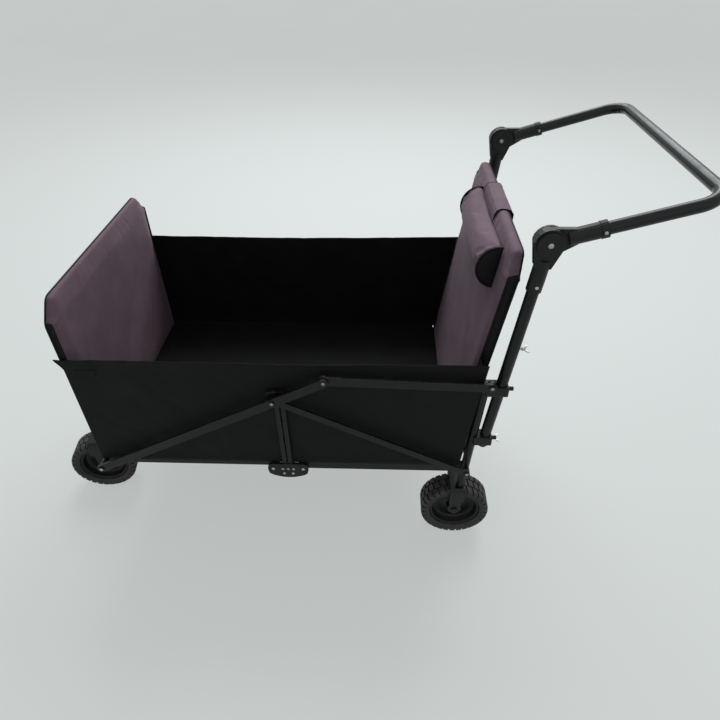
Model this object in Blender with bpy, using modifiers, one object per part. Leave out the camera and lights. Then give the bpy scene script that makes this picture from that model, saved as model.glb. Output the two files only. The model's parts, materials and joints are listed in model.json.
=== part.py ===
"""A folding camping trolley: a fabric tub hung in a frame of crossed side bars, with fixed rear
wheels, front casters and a push handle that folds at two knuckles.

Metres, +Z up, standing on z = 0. +X runs back from the front casters to the push handle, and +Y
runs across. Places along the trolley are measured from the front pivot of the side bars."""

import math

import bmesh
import bpy
from mathutils import Matrix, Vector

# Wheels and casters
wheel_radius = 0.09
tyre_width = 0.066
tyre_depth = 0.024
tyre_shoulder = 0.007
tyre_side = 0.008
rim_width = 0.056
rim_wall = 0.004
rim_lip = 0.006
hub_radius = 0.019
hub_reach = 0.022
axle_radius = 0.005
axle_head_radius = 0.009
axle_head_depth = 0.004
rear_wheel_inset = 0.019
fork_strap = 0.0035
fork_width = 0.038
fork_foot_width = 0.026
fork_bend_height = 0.056
fork_corner = 0.007
fork_clearance = 0.005
crown_clearance = 0.006
caster_x = -0.077
caster_y = 0.132
caster_trail = 0.038
caster_heading = math.radians(8)
swivel_radius = 0.017
swivel_depth = 0.014
housing_radius = 0.021
housing_depth = 0.014
caster_arm_width = 0.044
caster_arm_tip = 0.012

# Side bars, seen from the side: places are measured from the two pivots that they stand on
pivot_height = 0.266
pivot_span = 0.9226
cross_height = 0.5025
brace_overhang = 0.134
top_pin_height = 0.551
top_pin_behind = 0.0261
front_foot_reach = 0.057
rear_foot_reach = 0.031
foot_pin_drop = 0.004

# Bar sections, pins and the layers that the bars lie in
front_brace_width = 0.022
rear_brace_width = 0.016
top_link_width = 0.022
half_bar_width = 0.028
lug_radius = 0.014
bar_thickness = 0.007
layer_gap = 0.0008
half_bar_inset = 0.0235
pin_radius = 0.004
pin_head_radius = 0.0075
pin_head_depth = 0.002
boss_radius = 0.008
seat_gap = 0.0003

# Sliding guides at the middle of each side
guide_wall = 0.0018
guide_width = 0.01
guide_thickness = 0.003
guide_spacing = 0.014
guide_top = 0.024
bracket_rise = 0.022
bracket_fall = 0.02
bracket_margin = 0.016
bracket_corner = 0.01
hub_pin_spread = 0.038
hub_margin = 0.013
hub_foot = 0.016
hub_rise = 0.018
hub_corner = 0.012
hub_tube_radius = 0.009
hub_tube_drop = 0.02

# Frame tubes
post_inset = 0.013
post_radius = 0.0105
post_foot_ahead = 0.0006
post_foot_rise = 0.01
post_top_behind = 0.0179
post_top_drop = 0.007
foot_plate = 0.003
foot_plate_margin = 0.014
foot_plate_corner = 0.005
cross_tube_radius = 0.009
rear_tube_rise = 0.034
front_tube_radius = 0.0105

# Push handle
handle_radius = 0.0125
handle_foot_behind = 0.0314
handle_foot_height = 0.345
handle_foot_rounding = 0.004
knuckle_behind = 0.0894
knuckle_height = 0.887
knuckle_radius = 0.0295
knuckle_cap_radius = 0.026
knuckle_cap_depth = 0.0018
knuckle_tongue = 0.0105
knuckle_cheek = 0.006
socket_radius = 0.0155
socket_near = 0.034
socket_length = 0.069
socket_grip = 0.03
upper_socket_length = 0.068
socket_collar_length = 0.012
socket_collar_radius = 0.0168
handle_rise = math.radians(16)
handle_reach = 0.306
handle_bend = 0.05
collar_wall = 0.004
collar_height = 0.026
collar_rounding = 0.003
upper_collar_drop = 0.024
lower_collar_rise = 0.024
ear_half_width = 0.009
ear_corner = 0.005
screw_radius = 0.005
screw_length = 0.012

# Fabric tub and padded ends
tub_half_width = 0.303
tub_wall = 0.0022
tub_bottom_rise = 0.0165
tub_rim = 0.6
tub_front_ahead = 0.002
tub_rear_behind = 0.0164
tub_rear_foot_ahead = 0.0192
floor_thickness = 0.0045
front_panel_thickness = 0.022
front_panel_top = 0.74
front_panel_inset = 0.0005
front_panel_corner_inset = 0.038
front_panel_corner_drop = 0.048
rear_panel_thickness = 0.027
rear_panel_lean = math.radians(8.5)
rear_panel_face_behind = 0.0034
rear_panel_top = 0.848
rear_panel_gap = 0.0005
rear_panel_corner_inset = 0.026
rear_panel_corner_drop = 0.048
panel_rounding = 0.008
bolster_depth = 0.046
bolster_height = 0.096
bolster_drop = 0.058
bolster_half_length = 0.16
bolster_y = -0.03
bolster_rounding = 0.005

facets = 20
pin_facets = 12
wheel_facets = 32
arc_steps = 5
overlap = 0.002
weld_distance = 0.000001

black_metal = ("black_metal", (0.022, 0.022, 0.024), 0.38, 0.75)
black_plastic = ("black_plastic", (0.02, 0.02, 0.022), 0.45, 0.0)
tyre_rubber = ("tyre_rubber", (0.018, 0.018, 0.02), 0.75, 0.0)
rim_plastic = ("rim_plastic", (0.03, 0.03, 0.033), 0.5, 0.0)
tub_fabric = ("tub_fabric", (0.025, 0.025, 0.028), 0.9, 0.0)
panel_fabric = ("panel_fabric", (0.1, 0.065, 0.085), 0.85, 0.0)

SIDES = ((-1, "left"), (1, "right"))


def clear_scene():
    for obj in list(bpy.data.objects):
        bpy.data.objects.remove(obj)


def material(look):
    """The Principled material of this name, made the first time it is asked for."""
    name, colour, roughness, metallic = look
    found = bpy.data.materials.get(name)
    if found:
        return found
    made = bpy.data.materials.new(name)
    made.use_nodes = True
    shader = made.node_tree.nodes["Principled BSDF"]
    shader.inputs["Base Color"].default_value = (*colour, 1)
    shader.inputs["Roughness"].default_value = roughness
    shader.inputs["Metallic"].default_value = metallic
    made.diffuse_color = (*colour, 1)
    return made


def pivot(name, x, y, z, parent=None):
    """An empty on a joint's axis, which carries the pieces that turn there."""
    empty = bpy.data.objects.new(name, None)
    trolley.objects.link(empty)
    empty["place"] = (x, y, z)
    empty.location = (x, y, z)
    if parent:
        empty.parent = parent
        empty.location = Vector((x, y, z)) - Vector(parent["place"])
    return empty


def piece(obj, name, look, parent):
    """Names a finished solid, gives it its material and hangs it under its pivot."""
    obj.name = name
    obj.data.name = name
    obj.data.materials.clear()
    obj.data.materials.append(material(look))
    obj.data.transform(Matrix.Translation(-Vector(parent["place"])))
    obj.data.shade_smooth()
    obj.data.set_sharp_from_angle(angle=math.radians(35))
    obj.parent = parent
    return obj


def from_bmesh(shape):
    bmesh.ops.remove_doubles(shape, verts=shape.verts, dist=weld_distance)
    bmesh.ops.recalc_face_normals(shape, faces=shape.faces)
    mesh = bpy.data.meshes.new("solid")
    shape.to_mesh(mesh)
    shape.free()
    obj = bpy.data.objects.new("solid", mesh)
    trolley.objects.link(obj)
    return obj


def baked(obj):
    """A plain mesh of the object's evaluated shape, welded, in the trolley's own axes."""
    bpy.context.view_layer.update()
    graph = bpy.context.evaluated_depsgraph_get()
    shape = bmesh.new()
    mesh = bpy.data.meshes.new_from_object(obj.evaluated_get(graph))
    mesh.transform(obj.matrix_world)
    shape.from_mesh(mesh)
    bpy.data.objects.remove(obj)
    return from_bmesh(shape)


def boolean(base, others, operation):
    for other in others:
        step = base.modifiers.new(operation.title(), "BOOLEAN")
        step.operation = operation
        step.object = other
    result = baked(base)
    for other in others:
        bpy.data.objects.remove(other)
    return result


def joined(base, *others):
    return boolean(base, others, "UNION")


def cut(base, *others):
    return boolean(base, others, "DIFFERENCE")


def common(base, *others):
    return boolean(base, others, "INTERSECT")


def rounded(obj, width, steps=2):
    bevel = obj.modifiers.new("Rounding", "BEVEL")
    bevel.width = width
    bevel.segments = steps
    bevel.limit_method = "ANGLE"
    bevel.angle_limit = math.radians(40)
    return baked(obj)


def rod(start, end, radius, sides=facets):
    """A straight round bar between two points."""
    start, end = Vector(start), Vector(end)
    along = end - start
    shape = bmesh.new()
    bmesh.ops.create_cone(
        shape, cap_ends=True, segments=sides, radius1=radius, radius2=radius, depth=along.length
    )
    turn = along.to_track_quat("Z", "Y").to_matrix().to_4x4()
    bmesh.ops.transform(shape, matrix=Matrix.Translation((start + end) / 2) @ turn, verts=shape.verts)
    return from_bmesh(shape)


def block(low, high):
    low, high = Vector(low), Vector(high)
    shape = bmesh.new()
    bmesh.ops.create_cube(shape, size=1)
    size = Matrix.Diagonal((*(high - low), 1))
    bmesh.ops.transform(shape, matrix=Matrix.Translation((low + high) / 2) @ size, verts=shape.verts)
    return from_bmesh(shape)


def flat(loops, low, high, facing="Y"):
    """A flat piece from outlines: (x, z) points extruded along Y, (y, z) along X or (x, y) along Z."""
    curve = bpy.data.curves.new("outline", "CURVE")
    curve.dimensions = "2D"
    curve.fill_mode = "BOTH"
    curve.extrude = (high - low) / 2
    for loop in loops:
        spline = curve.splines.new("POLY")
        spline.points.add(len(loop) - 1)
        for point, (across, up) in zip(spline.points, loop):
            point.co = (across, up, 0, 1)
        spline.use_cyclic_u = True
    obj = bpy.data.objects.new("outline", curve)
    trolley.objects.link(obj)
    middle = (low + high) / 2
    if facing == "Y":
        obj.rotation_euler = (math.radians(90), 0, 0)
        obj.location.y = middle
    elif facing == "X":
        obj.rotation_euler = (math.radians(90), 0, math.radians(90))
        obj.location.x = middle
    else:
        obj.location.z = middle
    return baked(obj)


def arc(centre, radius, start, end, steps=arc_steps):
    return [
        (
            centre[0] + radius * math.cos(start + (end - start) * n / steps),
            centre[1] + radius * math.sin(start + (end - start) * n / steps),
        )
        for n in range(steps + 1)
    ]


def circle(centre, radius, sides=pin_facets):
    return arc(centre, radius, 0, math.tau * (sides - 1) / sides, sides - 1)


def softened(points, corner, steps=2):
    """The outline with each corner rounded off, starting this far along both of its edges."""
    result = []
    for n, point in enumerate(points):
        here = Vector(point)
        before = Vector(points[n - 1])
        after = Vector(points[(n + 1) % len(points)])
        start = here + (before - here).normalized() * corner
        end = here + (after - here).normalized() * corner
        for count in range(steps + 1):
            share = count / steps
            result.append(tuple(start.lerp(here, share).lerp(here.lerp(end, share), share)))
    return result


def bar_outline(start, end, width, lug=None):
    """A bar with round ends, seen from the side; its start can be a lug wider than the bar."""
    heading = math.atan2(end[1] - start[1], end[0] - start[0])
    square = math.radians(90)
    half = width / 2
    start_radius = lug or half
    shoulder = math.asin(half / start_radius)
    return arc(end, half, heading - square, heading + square) + arc(
        start, start_radius, heading + shoulder, heading + math.tau - shoulder, 2 * arc_steps
    )


def layer(side, inner, thickness=bar_thickness):
    """The low and high y of a layer whose inner face lies this far from the middle."""
    return sorted((side * inner, side * (inner + thickness)))


def bar(side, inner, start, end, width, holes, lug=None):
    """A flat side bar with round ends and a hole for each pin."""
    pin_holes = [circle(hole, pin_radius + seat_gap * 2) for hole in holes]
    return flat([bar_outline(start, end, width, lug), *pin_holes], *layer(side, inner))


def across(side, place, inner, outer, radius):
    """A pin or boss that lies along Y on one side of the trolley."""
    x, z = place
    return rod((x, side * inner, z), (x, side * outer, z), radius, pin_facets)


def headed_pin(side, place, inner, face):
    """A pin that starts inside its own piece and ends in a head just outside a bar's face."""
    shank = across(side, place, inner, face + seat_gap + overlap / 2, pin_radius)
    head_start = face + seat_gap
    head = across(side, place, head_start, head_start + pin_head_depth, pin_head_radius)
    return joined(shank, head)


def between(start, end, height):
    """The x at this height on the line between two (x, z) points."""
    share = (height - start[1]) / (end[1] - start[1])
    return start[0] + (end[0] - start[0]) * share


# Places that follow from the driving dimensions
front_pivot = (0, pivot_height)
rear_pivot = (pivot_span, pivot_height)
crossing = (pivot_span / 2, cross_height)
open_angle = math.atan2(cross_height - pivot_height, pivot_span / 2)
brace_end = (
    crossing[0] + brace_overhang * math.cos(open_angle),
    crossing[1] + brace_overhang * math.sin(open_angle),
)
top_pin = (pivot_span + top_pin_behind, top_pin_height)
foot_pin_height = pivot_height - foot_pin_drop
front_foot_pin = (front_foot_reach, foot_pin_height)
rear_foot_pin = (pivot_span - rear_foot_reach, foot_pin_height)
hub = (crossing[0] + (front_foot_reach - rear_foot_reach) / 2, foot_pin_height)
front_hub_pin = (hub[0] - hub_pin_spread, foot_pin_height)
rear_hub_pin = (hub[0] + hub_pin_spread, foot_pin_height)
half_bar_y = tub_half_width - half_bar_inset
rear_half_bar_y = half_bar_y + bar_thickness + layer_gap
guide_y = tub_half_width + layer_gap
bracket_depth = 2 * guide_wall + guide_thickness + 4 * seat_gap
brace_y = guide_y + bracket_depth + layer_gap
outer_brace_y = brace_y + bar_thickness + layer_gap
post_y = tub_half_width - post_inset
handle_y = post_y
rear_wheel_y = post_y - rear_wheel_inset
post_foot_height = pivot_height + post_foot_rise
post_foot = (pivot_span - post_foot_ahead, post_foot_height)
post_top = (pivot_span + post_top_behind, top_pin_height - post_top_drop)
rear_axle = (between(post_foot, post_top, wheel_radius), wheel_radius)
crown_height = 2 * wheel_radius + crown_clearance
crown_top = crown_height + fork_strap
handle_foot = (pivot_span + handle_foot_behind, handle_foot_height)
knuckle = (pivot_span + knuckle_behind, knuckle_height)
handle_corner = (
    knuckle[0] + handle_reach * math.cos(handle_rise),
    knuckle[1] + handle_reach * math.sin(handle_rise),
)
upper_collar_height = top_pin_height - upper_collar_drop
lower_collar_height = handle_foot_height + lower_collar_rise
tub_rear_x = pivot_span + tub_rear_behind
tub_rear_foot_x = pivot_span - tub_rear_foot_ahead
tub_bottom = pivot_height + tub_bottom_rise
floor_top = tub_bottom + floor_thickness
tub_inside = tub_half_width - tub_wall - seat_gap
rear_panel_edge = post_y - handle_radius - collar_wall - rear_panel_gap
front_panel_bottom = pivot_height + front_tube_radius + seat_gap
bolster_middle = rear_panel_top - bolster_drop
front_end = caster_x - caster_trail * math.cos(caster_heading) - wheel_radius
rear_end = handle_corner[0] + handle_radius
middle_x = (front_end + rear_end) / 2


def rear_face_x(height):
    """The x of the rear panel's inner face at this height."""
    return pivot_span + rear_panel_face_behind + (height - tub_rim) * math.tan(rear_panel_lean)


def strip(path, thickness):
    """The outline of a bent strip: a path of points, and the same path set off to its left."""
    points = [Vector(point) for point in path]
    lefts = [
        Vector((start.y - end.y, end.x - start.x)).normalized()
        for start, end in zip(points, points[1:])
    ]
    set_off = []
    for point, before, after in zip(points, lefts[:1] + lefts, lefts + lefts[-1:]):
        middle = (before + after).normalized()
        set_off.append(tuple(point + middle * (thickness / middle.dot(after))))
    return path + set_off[::-1]


def fork(centre_x, centre_y):
    """A bent strap over a wheel, whose tapered legs step into the rim's dish to carry the axle."""
    half_inside = tyre_width / 2 + fork_clearance
    foot_inside = hub_reach + 2 * seat_gap
    straight_end = wheel_radius + fork_bend_height
    half_foot = fork_foot_width / 2
    leg = [
        (foot_inside, wheel_radius - half_foot - overlap),
        (foot_inside, straight_end - (half_inside - foot_inside)),
        (half_inside, straight_end),
        (half_inside, crown_height - fork_corner),
        (half_inside - fork_corner, crown_height),
    ]
    path = [(centre_y - y, z) for y, z in leg] + [(centre_y + y, z) for y, z in leg[::-1]]
    half_width = fork_width / 2
    strap = flat(
        [strip(path, fork_strap)],
        centre_x - half_width - overlap,
        centre_x + half_width + overlap,
        facing="X",
    )
    reach = half_inside + fork_strap + overlap
    side_view = [
        (centre_x - half_width, crown_top + overlap),
        (centre_x - half_width, straight_end),
        *arc((centre_x, wheel_radius), half_foot, -math.pi, 0),
        (centre_x + half_width, straight_end),
        (centre_x + half_width, crown_top + overlap),
    ]
    body = common(strap, flat([side_view], centre_y - reach, centre_y + reach))
    outside = foot_inside + fork_strap
    half_axle = outside + axle_head_depth / 2
    axle = rod(
        (centre_x, centre_y - half_axle, wheel_radius),
        (centre_x, centre_y + half_axle, wheel_radius),
        axle_radius,
        pin_facets,
    )
    heads = [
        rod(
            (centre_x, centre_y + end * (outside - overlap / 2), wheel_radius),
            (centre_x, centre_y + end * (outside + axle_head_depth), wheel_radius),
            axle_head_radius,
            pin_facets,
        )
        for end in (-1, 1)
    ]
    return joined(body, axle, *heads)


def turned(profile, centre):
    """A ring turned about the axle from (radius, y) points."""
    shape = bmesh.new()
    corners = [shape.verts.new((radius, y, 0)) for radius, y in profile]
    for n, corner in enumerate(corners):
        shape.edges.new((corners[n - 1], corner))
    mesh = bpy.data.meshes.new("profile")
    shape.to_mesh(mesh)
    shape.free()
    obj = bpy.data.objects.new("profile", mesh)
    trolley.objects.link(obj)
    turn = obj.modifiers.new("Turn", "SCREW")
    turn.axis = "Y"
    turn.steps = turn.render_steps = wheel_facets
    turn.use_merge_vertices = True
    turn.merge_threshold = weld_distance
    obj.location = centre
    return baked(obj)


def tyre(centre):
    """A wide tyre with square shoulders."""
    half = tyre_width / 2
    inner = wheel_radius - tyre_depth
    bead = rim_width / 2 - rim_wall
    return turned(
        [
            (inner, -bead),
            (inner + tyre_side, -half),
            (wheel_radius - tyre_shoulder, -half),
            (wheel_radius, -half + tyre_shoulder),
            (wheel_radius, half - tyre_shoulder),
            (wheel_radius - tyre_shoulder, half),
            (inner + tyre_side, half),
            (inner, bead),
        ],
        centre,
    )


def rim(centre):
    """A deep dished rim: a barrel, a thin web in the middle and a hub that the axle runs in."""
    barrel = wheel_radius - tyre_depth - seat_gap
    bore = axle_radius + seat_gap * 2
    half = rim_width / 2 - rim_wall
    web = rim_wall / 2
    return turned(
        [
            (bore, -hub_reach),
            (hub_radius, -hub_reach),
            (hub_radius, -web),
            (barrel - rim_lip, -web),
            (barrel - rim_lip, -half),
            (barrel, -half),
            (barrel, half),
            (barrel - rim_lip, half),
            (barrel - rim_lip, web),
            (hub_radius, web),
            (hub_radius, hub_reach),
            (bore, hub_reach),
        ],
        centre,
    )


def wheel(name, centre, parent):
    piece(tyre(centre), name + "_tyre", tyre_rubber, parent)
    piece(rim(centre), name + "_rim", rim_plastic, parent)


def rear_post(side):
    """The rear upright with its foot plate, the pivot of the rear brace and the half bar's pin."""
    lean = (post_top[0] - post_foot[0]) / (post_top[1] - post_foot[1])
    foot_z = crown_top + seat_gap + post_radius * lean
    tube = rod(
        (between(post_foot, post_top, foot_z), side * post_y, foot_z),
        (post_top[0], side * post_y, post_top[1]),
        post_radius,
    )
    margin = foot_plate_margin
    plate_outline = [
        (rear_foot_pin[0] - margin, foot_pin_height - margin),
        (pivot_span, foot_pin_height - margin),
        (pivot_span, foot_pin_height + margin),
        (rear_foot_pin[0] - margin, foot_pin_height + margin),
    ]
    plate_inner = rear_half_bar_y - layer_gap - foot_plate
    plate = flat([softened(plate_outline, foot_plate_corner)], *layer(side, plate_inner, foot_plate))
    boss = across(side, rear_pivot, post_y, brace_y - seat_gap, boss_radius)
    brace_pin = headed_pin(side, rear_pivot, brace_y - overlap, brace_y + bar_thickness)
    plate_face = rear_half_bar_y - layer_gap - overlap / 2
    half_bar_pin = headed_pin(side, rear_foot_pin, plate_face, rear_half_bar_y + bar_thickness)
    return joined(tube, plate, boss, brace_pin, half_bar_pin)


def front_foot(side):
    """The plate at a front corner that carries the pins of the front brace and half bar."""
    margin = foot_plate_margin
    inner = half_bar_y + bar_thickness + layer_gap
    outline = [
        (-front_tube_radius, pivot_height - front_tube_radius),
        (front_foot_reach + margin, foot_pin_height - margin),
        (front_foot_reach + margin, pivot_height + front_tube_radius),
        (-front_tube_radius, pivot_height + front_tube_radius),
    ]
    plate = flat([softened(outline, foot_plate_corner)], *layer(side, inner, foot_plate))
    plate_middle = inner + foot_plate / 2
    boss = across(side, front_pivot, plate_middle, outer_brace_y - seat_gap, boss_radius)
    brace_pin = headed_pin(side, front_pivot, outer_brace_y - overlap, outer_brace_y + bar_thickness)
    shank = across(side, front_foot_pin, half_bar_y - seat_gap - overlap / 2, plate_middle, pin_radius)
    head_face = half_bar_y - seat_gap
    head = across(side, front_foot_pin, head_face - pin_head_depth, head_face, pin_head_radius)
    return joined(plate, boss, brace_pin, shank, head)


def centre_bracket(side):
    """The block at the crossing: its pin joins the side bars, and the guides slide through it."""
    ahead = crossing[0] - bracket_margin
    behind = hub[0] + guide_spacing / 2 + guide_width / 2 + 2 * guide_wall
    bottom, top = cross_height - bracket_fall, cross_height + bracket_rise
    outline = [(ahead, bottom), (behind, bottom), (behind, top), (ahead, top)]
    body = flat([softened(outline, bracket_corner)], *layer(side, guide_y, bracket_depth))
    slot_half = guide_spacing / 2 + guide_width / 2 + seat_gap
    slot_low, slot_high = layer(side, guide_y + guide_wall, guide_thickness + 4 * seat_gap)
    slot = block(
        (hub[0] - slot_half, slot_low, bottom - overlap), (hub[0] + slot_half, slot_high, top + overlap)
    )
    body = cut(body, slot)
    face = guide_y + bracket_depth
    pin = headed_pin(side, crossing, face - overlap / 2, outer_brace_y + bar_thickness)
    return joined(body, pin)


def centre_hub(side):
    """The hub under the tub with its two upright guides and a boss for each bottom bar."""
    x, z = hub
    half = hub_pin_spread + hub_margin
    foot = z - hub_tube_drop - hub_tube_radius - guide_wall
    outline = [
        (x - half, z + hub_rise),
        (x + half, z + hub_rise),
        (x + half, z - hub_rise),
        (x + hub_foot, foot),
        (x - hub_foot, foot),
        (x - half, z - hub_rise),
    ]
    body = flat([softened(outline, hub_corner)], *layer(side, guide_y, bracket_depth))
    guide_low, guide_high = layer(side, guide_y + guide_wall + 2 * seat_gap, guide_thickness)
    guides = [
        block(
            (x + end * guide_spacing / 2 - guide_width / 2, guide_low, z),
            (x + end * guide_spacing / 2 + guide_width / 2, guide_high, cross_height + guide_top),
        )
        for end in (-1, 1)
    ]
    middle = guide_y + bracket_depth / 2
    front_face = half_bar_y + bar_thickness + seat_gap
    rear_face = rear_half_bar_y + bar_thickness + seat_gap
    front_boss = across(side, front_hub_pin, front_face, middle, boss_radius)
    rear_boss = across(side, rear_hub_pin, rear_face, middle, boss_radius)
    return joined(body, *guides, front_boss, rear_boss)


def collar(side, height):
    """The bracket that joins the handle tube to the rear post."""
    post_x = between(post_foot, post_top, height)
    tube_x = between(handle_foot, knuckle, height)
    half = handle_radius + collar_wall
    back = tube_x + half
    body = block(
        (post_x, side * post_y - half, height - collar_height / 2),
        (back, side * post_y + half, height + collar_height / 2),
    )
    body = rounded(body, collar_rounding)
    below, above = height - collar_height, height + collar_height
    tube_hole = rod(
        (between(handle_foot, knuckle, below), side * handle_y, below),
        (between(handle_foot, knuckle, above), side * handle_y, above),
        handle_radius + seat_gap,
    )
    post_hole = rod(
        (between(post_foot, post_top, below), side * post_y, below),
        (between(post_foot, post_top, above), side * post_y, above),
        post_radius + seat_gap,
    )
    screw_start = (back - overlap, side * handle_y, height)
    screw_end = (back + screw_length, side * handle_y, height)
    screw = rod(screw_start, screw_end, screw_radius, pin_facets)
    return joined(cut(body, tube_hole, post_hole), screw)


def top_collar(side):
    """The upper bracket, which also carries the top link's pin."""
    body = collar(side, upper_collar_height)
    ear_inner = post_y + handle_radius + collar_wall - foot_plate
    ahead, behind = top_pin[0] - ear_half_width, top_pin[0] + ear_half_width
    top = top_pin_height + ear_half_width
    outline = [
        (ahead, upper_collar_height),
        (behind, upper_collar_height),
        (behind, top),
        (ahead, top),
    ]
    ear = flat([softened(outline, ear_corner)], *layer(side, ear_inner, brace_y - seat_gap - ear_inner))
    pin = headed_pin(side, top_pin, brace_y - overlap, brace_y + bar_thickness)
    return joined(body, ear, pin)


def handle_tube(side):
    """The straight tube from the lower collar up into its knuckle's socket."""
    foot = Vector((handle_foot[0], side * handle_y, handle_foot[1]))
    centre = Vector((knuckle[0], side * handle_y, knuckle[1]))
    down = (foot - centre).normalized()
    end = centre + down * (socket_near + socket_length - socket_grip + seat_gap)
    return rounded(rod(foot, end, handle_radius), handle_foot_rounding)


def knuckle_outline(heading):
    """The round of a knuckle, seen from the side, drawn out towards a socket at this heading."""
    square = math.radians(90)
    reach = socket_near + socket_radius
    along = Vector((math.cos(heading), math.sin(heading)))
    aside = Vector((-along.y, along.x)) * socket_radius
    neck = Vector(knuckle) + along * reach
    return [
        *arc(knuckle, knuckle_radius, heading + square, heading + 3 * square, 2 * arc_steps),
        tuple(neck - aside),
        tuple(neck + aside),
    ]


def lower_socket(side):
    """The lower half of a knuckle: a socket on the tube that ends in two round, capped cheeks."""
    foot = Vector((handle_foot[0], side * handle_y, handle_foot[1]))
    centre = Vector((knuckle[0], side * handle_y, knuckle[1]))
    down = (foot - centre).normalized()
    top = centre + down * socket_near
    bottom = centre + down * (socket_near + socket_length)
    body = rod(bottom, top, socket_radius)
    tube_hole = rod(bottom + down * overlap, bottom - down * socket_grip, handle_radius + seat_gap)
    inner = knuckle_tongue / 2 + seat_gap
    outer = inner + knuckle_cheek
    outline = knuckle_outline(math.atan2(down.z, down.x))
    cheeks = []
    for end in (-1, 1):
        low, high = sorted((centre.y + end * inner, centre.y + end * outer))
        cheeks.append(flat([outline], low, high))
        cap_start = centre + Vector((0, end * (outer - overlap / 2), 0))
        cap_end = centre + Vector((0, end * (outer + knuckle_cap_depth), 0))
        cheeks.append(rod(cap_start, cap_end, knuckle_cap_radius))
    reach = Vector((0, outer, 0))
    pin = rod(centre - reach, centre + reach, axle_radius, pin_facets)
    return joined(cut(body, tube_hole), *cheeks, pin)


def upper_socket(side):
    """The upper half of a knuckle: a round tongue between the cheeks and the arm's socket."""
    up = Vector((math.cos(handle_rise), 0, math.sin(handle_rise)))
    centre = Vector((knuckle[0], side * handle_y, knuckle[1]))
    near = centre + up * socket_near
    far = centre + up * (socket_near + upper_socket_length)
    body = rod(near, far, socket_radius)
    end_collar = rod(far - up * socket_collar_length, far + up * overlap / 2, socket_collar_radius)
    hole = circle(knuckle, axle_radius + 2 * seat_gap)
    half = knuckle_tongue / 2
    tongue = flat([knuckle_outline(handle_rise), hole], centre.y - half, centre.y + half)
    tube_hole = rod(far + up * overlap, near + up * socket_radius, handle_radius + seat_gap)
    return joined(cut(joined(body, end_collar), tube_hole), tongue)


def handle_bar():
    """The bent tube between the upper sockets."""
    along = Vector((math.cos(handle_rise), 0, math.sin(handle_rise)))
    start = along * (socket_near + socket_radius + seat_gap)
    route = [Vector((knuckle[0], -handle_y, knuckle[1])) + start]
    for side in (-1, 1):
        corner = Vector((handle_corner[0], side * handle_y, handle_corner[1]))
        inside = corner - along * handle_bend - Vector((0, side * handle_bend, 0))
        for n in range(arc_steps + 1):
            turn = math.radians(90) * n / arc_steps
            if side == 1:
                turn = math.radians(90) - turn
            outward = Vector((0, side * math.cos(turn), 0)) + along * math.sin(turn)
            route.append(inside + outward * handle_bend)
    route.append(Vector((knuckle[0], handle_y, knuckle[1])) + start)
    curve = bpy.data.curves.new("handle", "CURVE")
    curve.dimensions = "3D"
    curve.bevel_depth = handle_radius
    curve.bevel_resolution = 3
    curve.use_fill_caps = True
    spline = curve.splines.new("POLY")
    spline.points.add(len(route) - 1)
    for point, place in zip(spline.points, route):
        point.co = (*place, 1)
    obj = bpy.data.objects.new("handle", curve)
    trolley.objects.link(obj)
    return baked(obj)


def caster_bracket(side):
    """The arm under the front tube that reaches forward to a caster's swivel housing."""
    top = pivot_height - front_tube_radius - seat_gap
    bottom = crown_top + swivel_depth + seat_gap
    underside = bottom + housing_depth
    middle = side * caster_y
    half = caster_arm_width / 2
    tip = caster_x - half - overlap
    side_view = [
        (tip, underside - overlap),
        (front_tube_radius, underside - overlap),
        (front_tube_radius, top),
        (-front_tube_radius, top),
        (caster_x, underside + caster_arm_tip - overlap),
        (tip, underside + caster_arm_tip - overlap),
    ]
    square = math.radians(90)
    plan = [
        (front_tube_radius + overlap, middle - half),
        (front_tube_radius + overlap, middle + half),
        *arc((caster_x, middle), half, square, 3 * square, 2 * arc_steps),
    ]
    arm = flat([side_view], middle - half - overlap, middle + half + overlap)
    arm = common(arm, flat([plan], underside - 2 * overlap, top + overlap, facing="Z"))
    housing = rod((caster_x, middle, bottom), (caster_x, middle, underside), housing_radius)
    return joined(arm, housing)


def caster(side, name, front_frame):
    """A swivel fork with its wheel, turned to the heading it stands at."""
    swivel = pivot("front_swivel_" + name, caster_x, side * caster_y, 0, front_frame)
    axle = pivot("front_axle_" + name, caster_x, side * caster_y, wheel_radius, swivel)
    # The wheel is built straight ahead of the swivel, and its pivot turns it with the fork.
    swivel.rotation_euler.z = caster_heading
    axle["place"] = (caster_x - caster_trail, side * caster_y, wheel_radius)
    axle.location = Vector(axle["place"]) - Vector(swivel["place"])
    axle_x = caster_x - caster_trail
    middle = side * caster_y
    head = rod(
        (caster_x, middle, crown_top - overlap), (caster_x, middle, crown_top + swivel_depth), swivel_radius
    )
    tongue = bar_outline((axle_x, middle), (caster_x, middle), 2 * swivel_radius)
    bridge = flat([tongue], crown_height + overlap / 4, crown_top + overlap / 4, facing="Z")
    piece(joined(fork(axle_x, middle), bridge, head), "front_fork_" + name, black_metal, swivel)
    wheel("front_wheel_" + name, (axle_x, middle, wheel_radius), axle)


def side_wall(side):
    """One fabric side of the tub, from the front panel to the rear posts."""
    outline = [
        (-tub_front_ahead, tub_bottom),
        (tub_rear_foot_x, tub_bottom),
        (tub_rear_x, tub_rim),
        (-tub_front_ahead, tub_rim),
    ]
    return flat([outline], *layer(side, tub_half_width - tub_wall, tub_wall))


def tub_floor():
    return block(
        (front_panel_thickness / 2 + seat_gap, -tub_inside, tub_bottom),
        (rear_face_x(tub_bottom) - seat_gap, tub_inside, floor_top),
    )


def padded_panel(bottom, top, half_width, corner_inset, corner_drop, low, high):
    """A padded end panel with sloping upper corners."""
    outline = [
        (-half_width, bottom),
        (half_width, bottom),
        (half_width, top - corner_drop),
        (half_width - corner_inset, top),
        (corner_inset - half_width, top),
        (-half_width, top - corner_drop),
    ]
    return rounded(flat([outline], low, high, facing="X"), panel_rounding)


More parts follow.
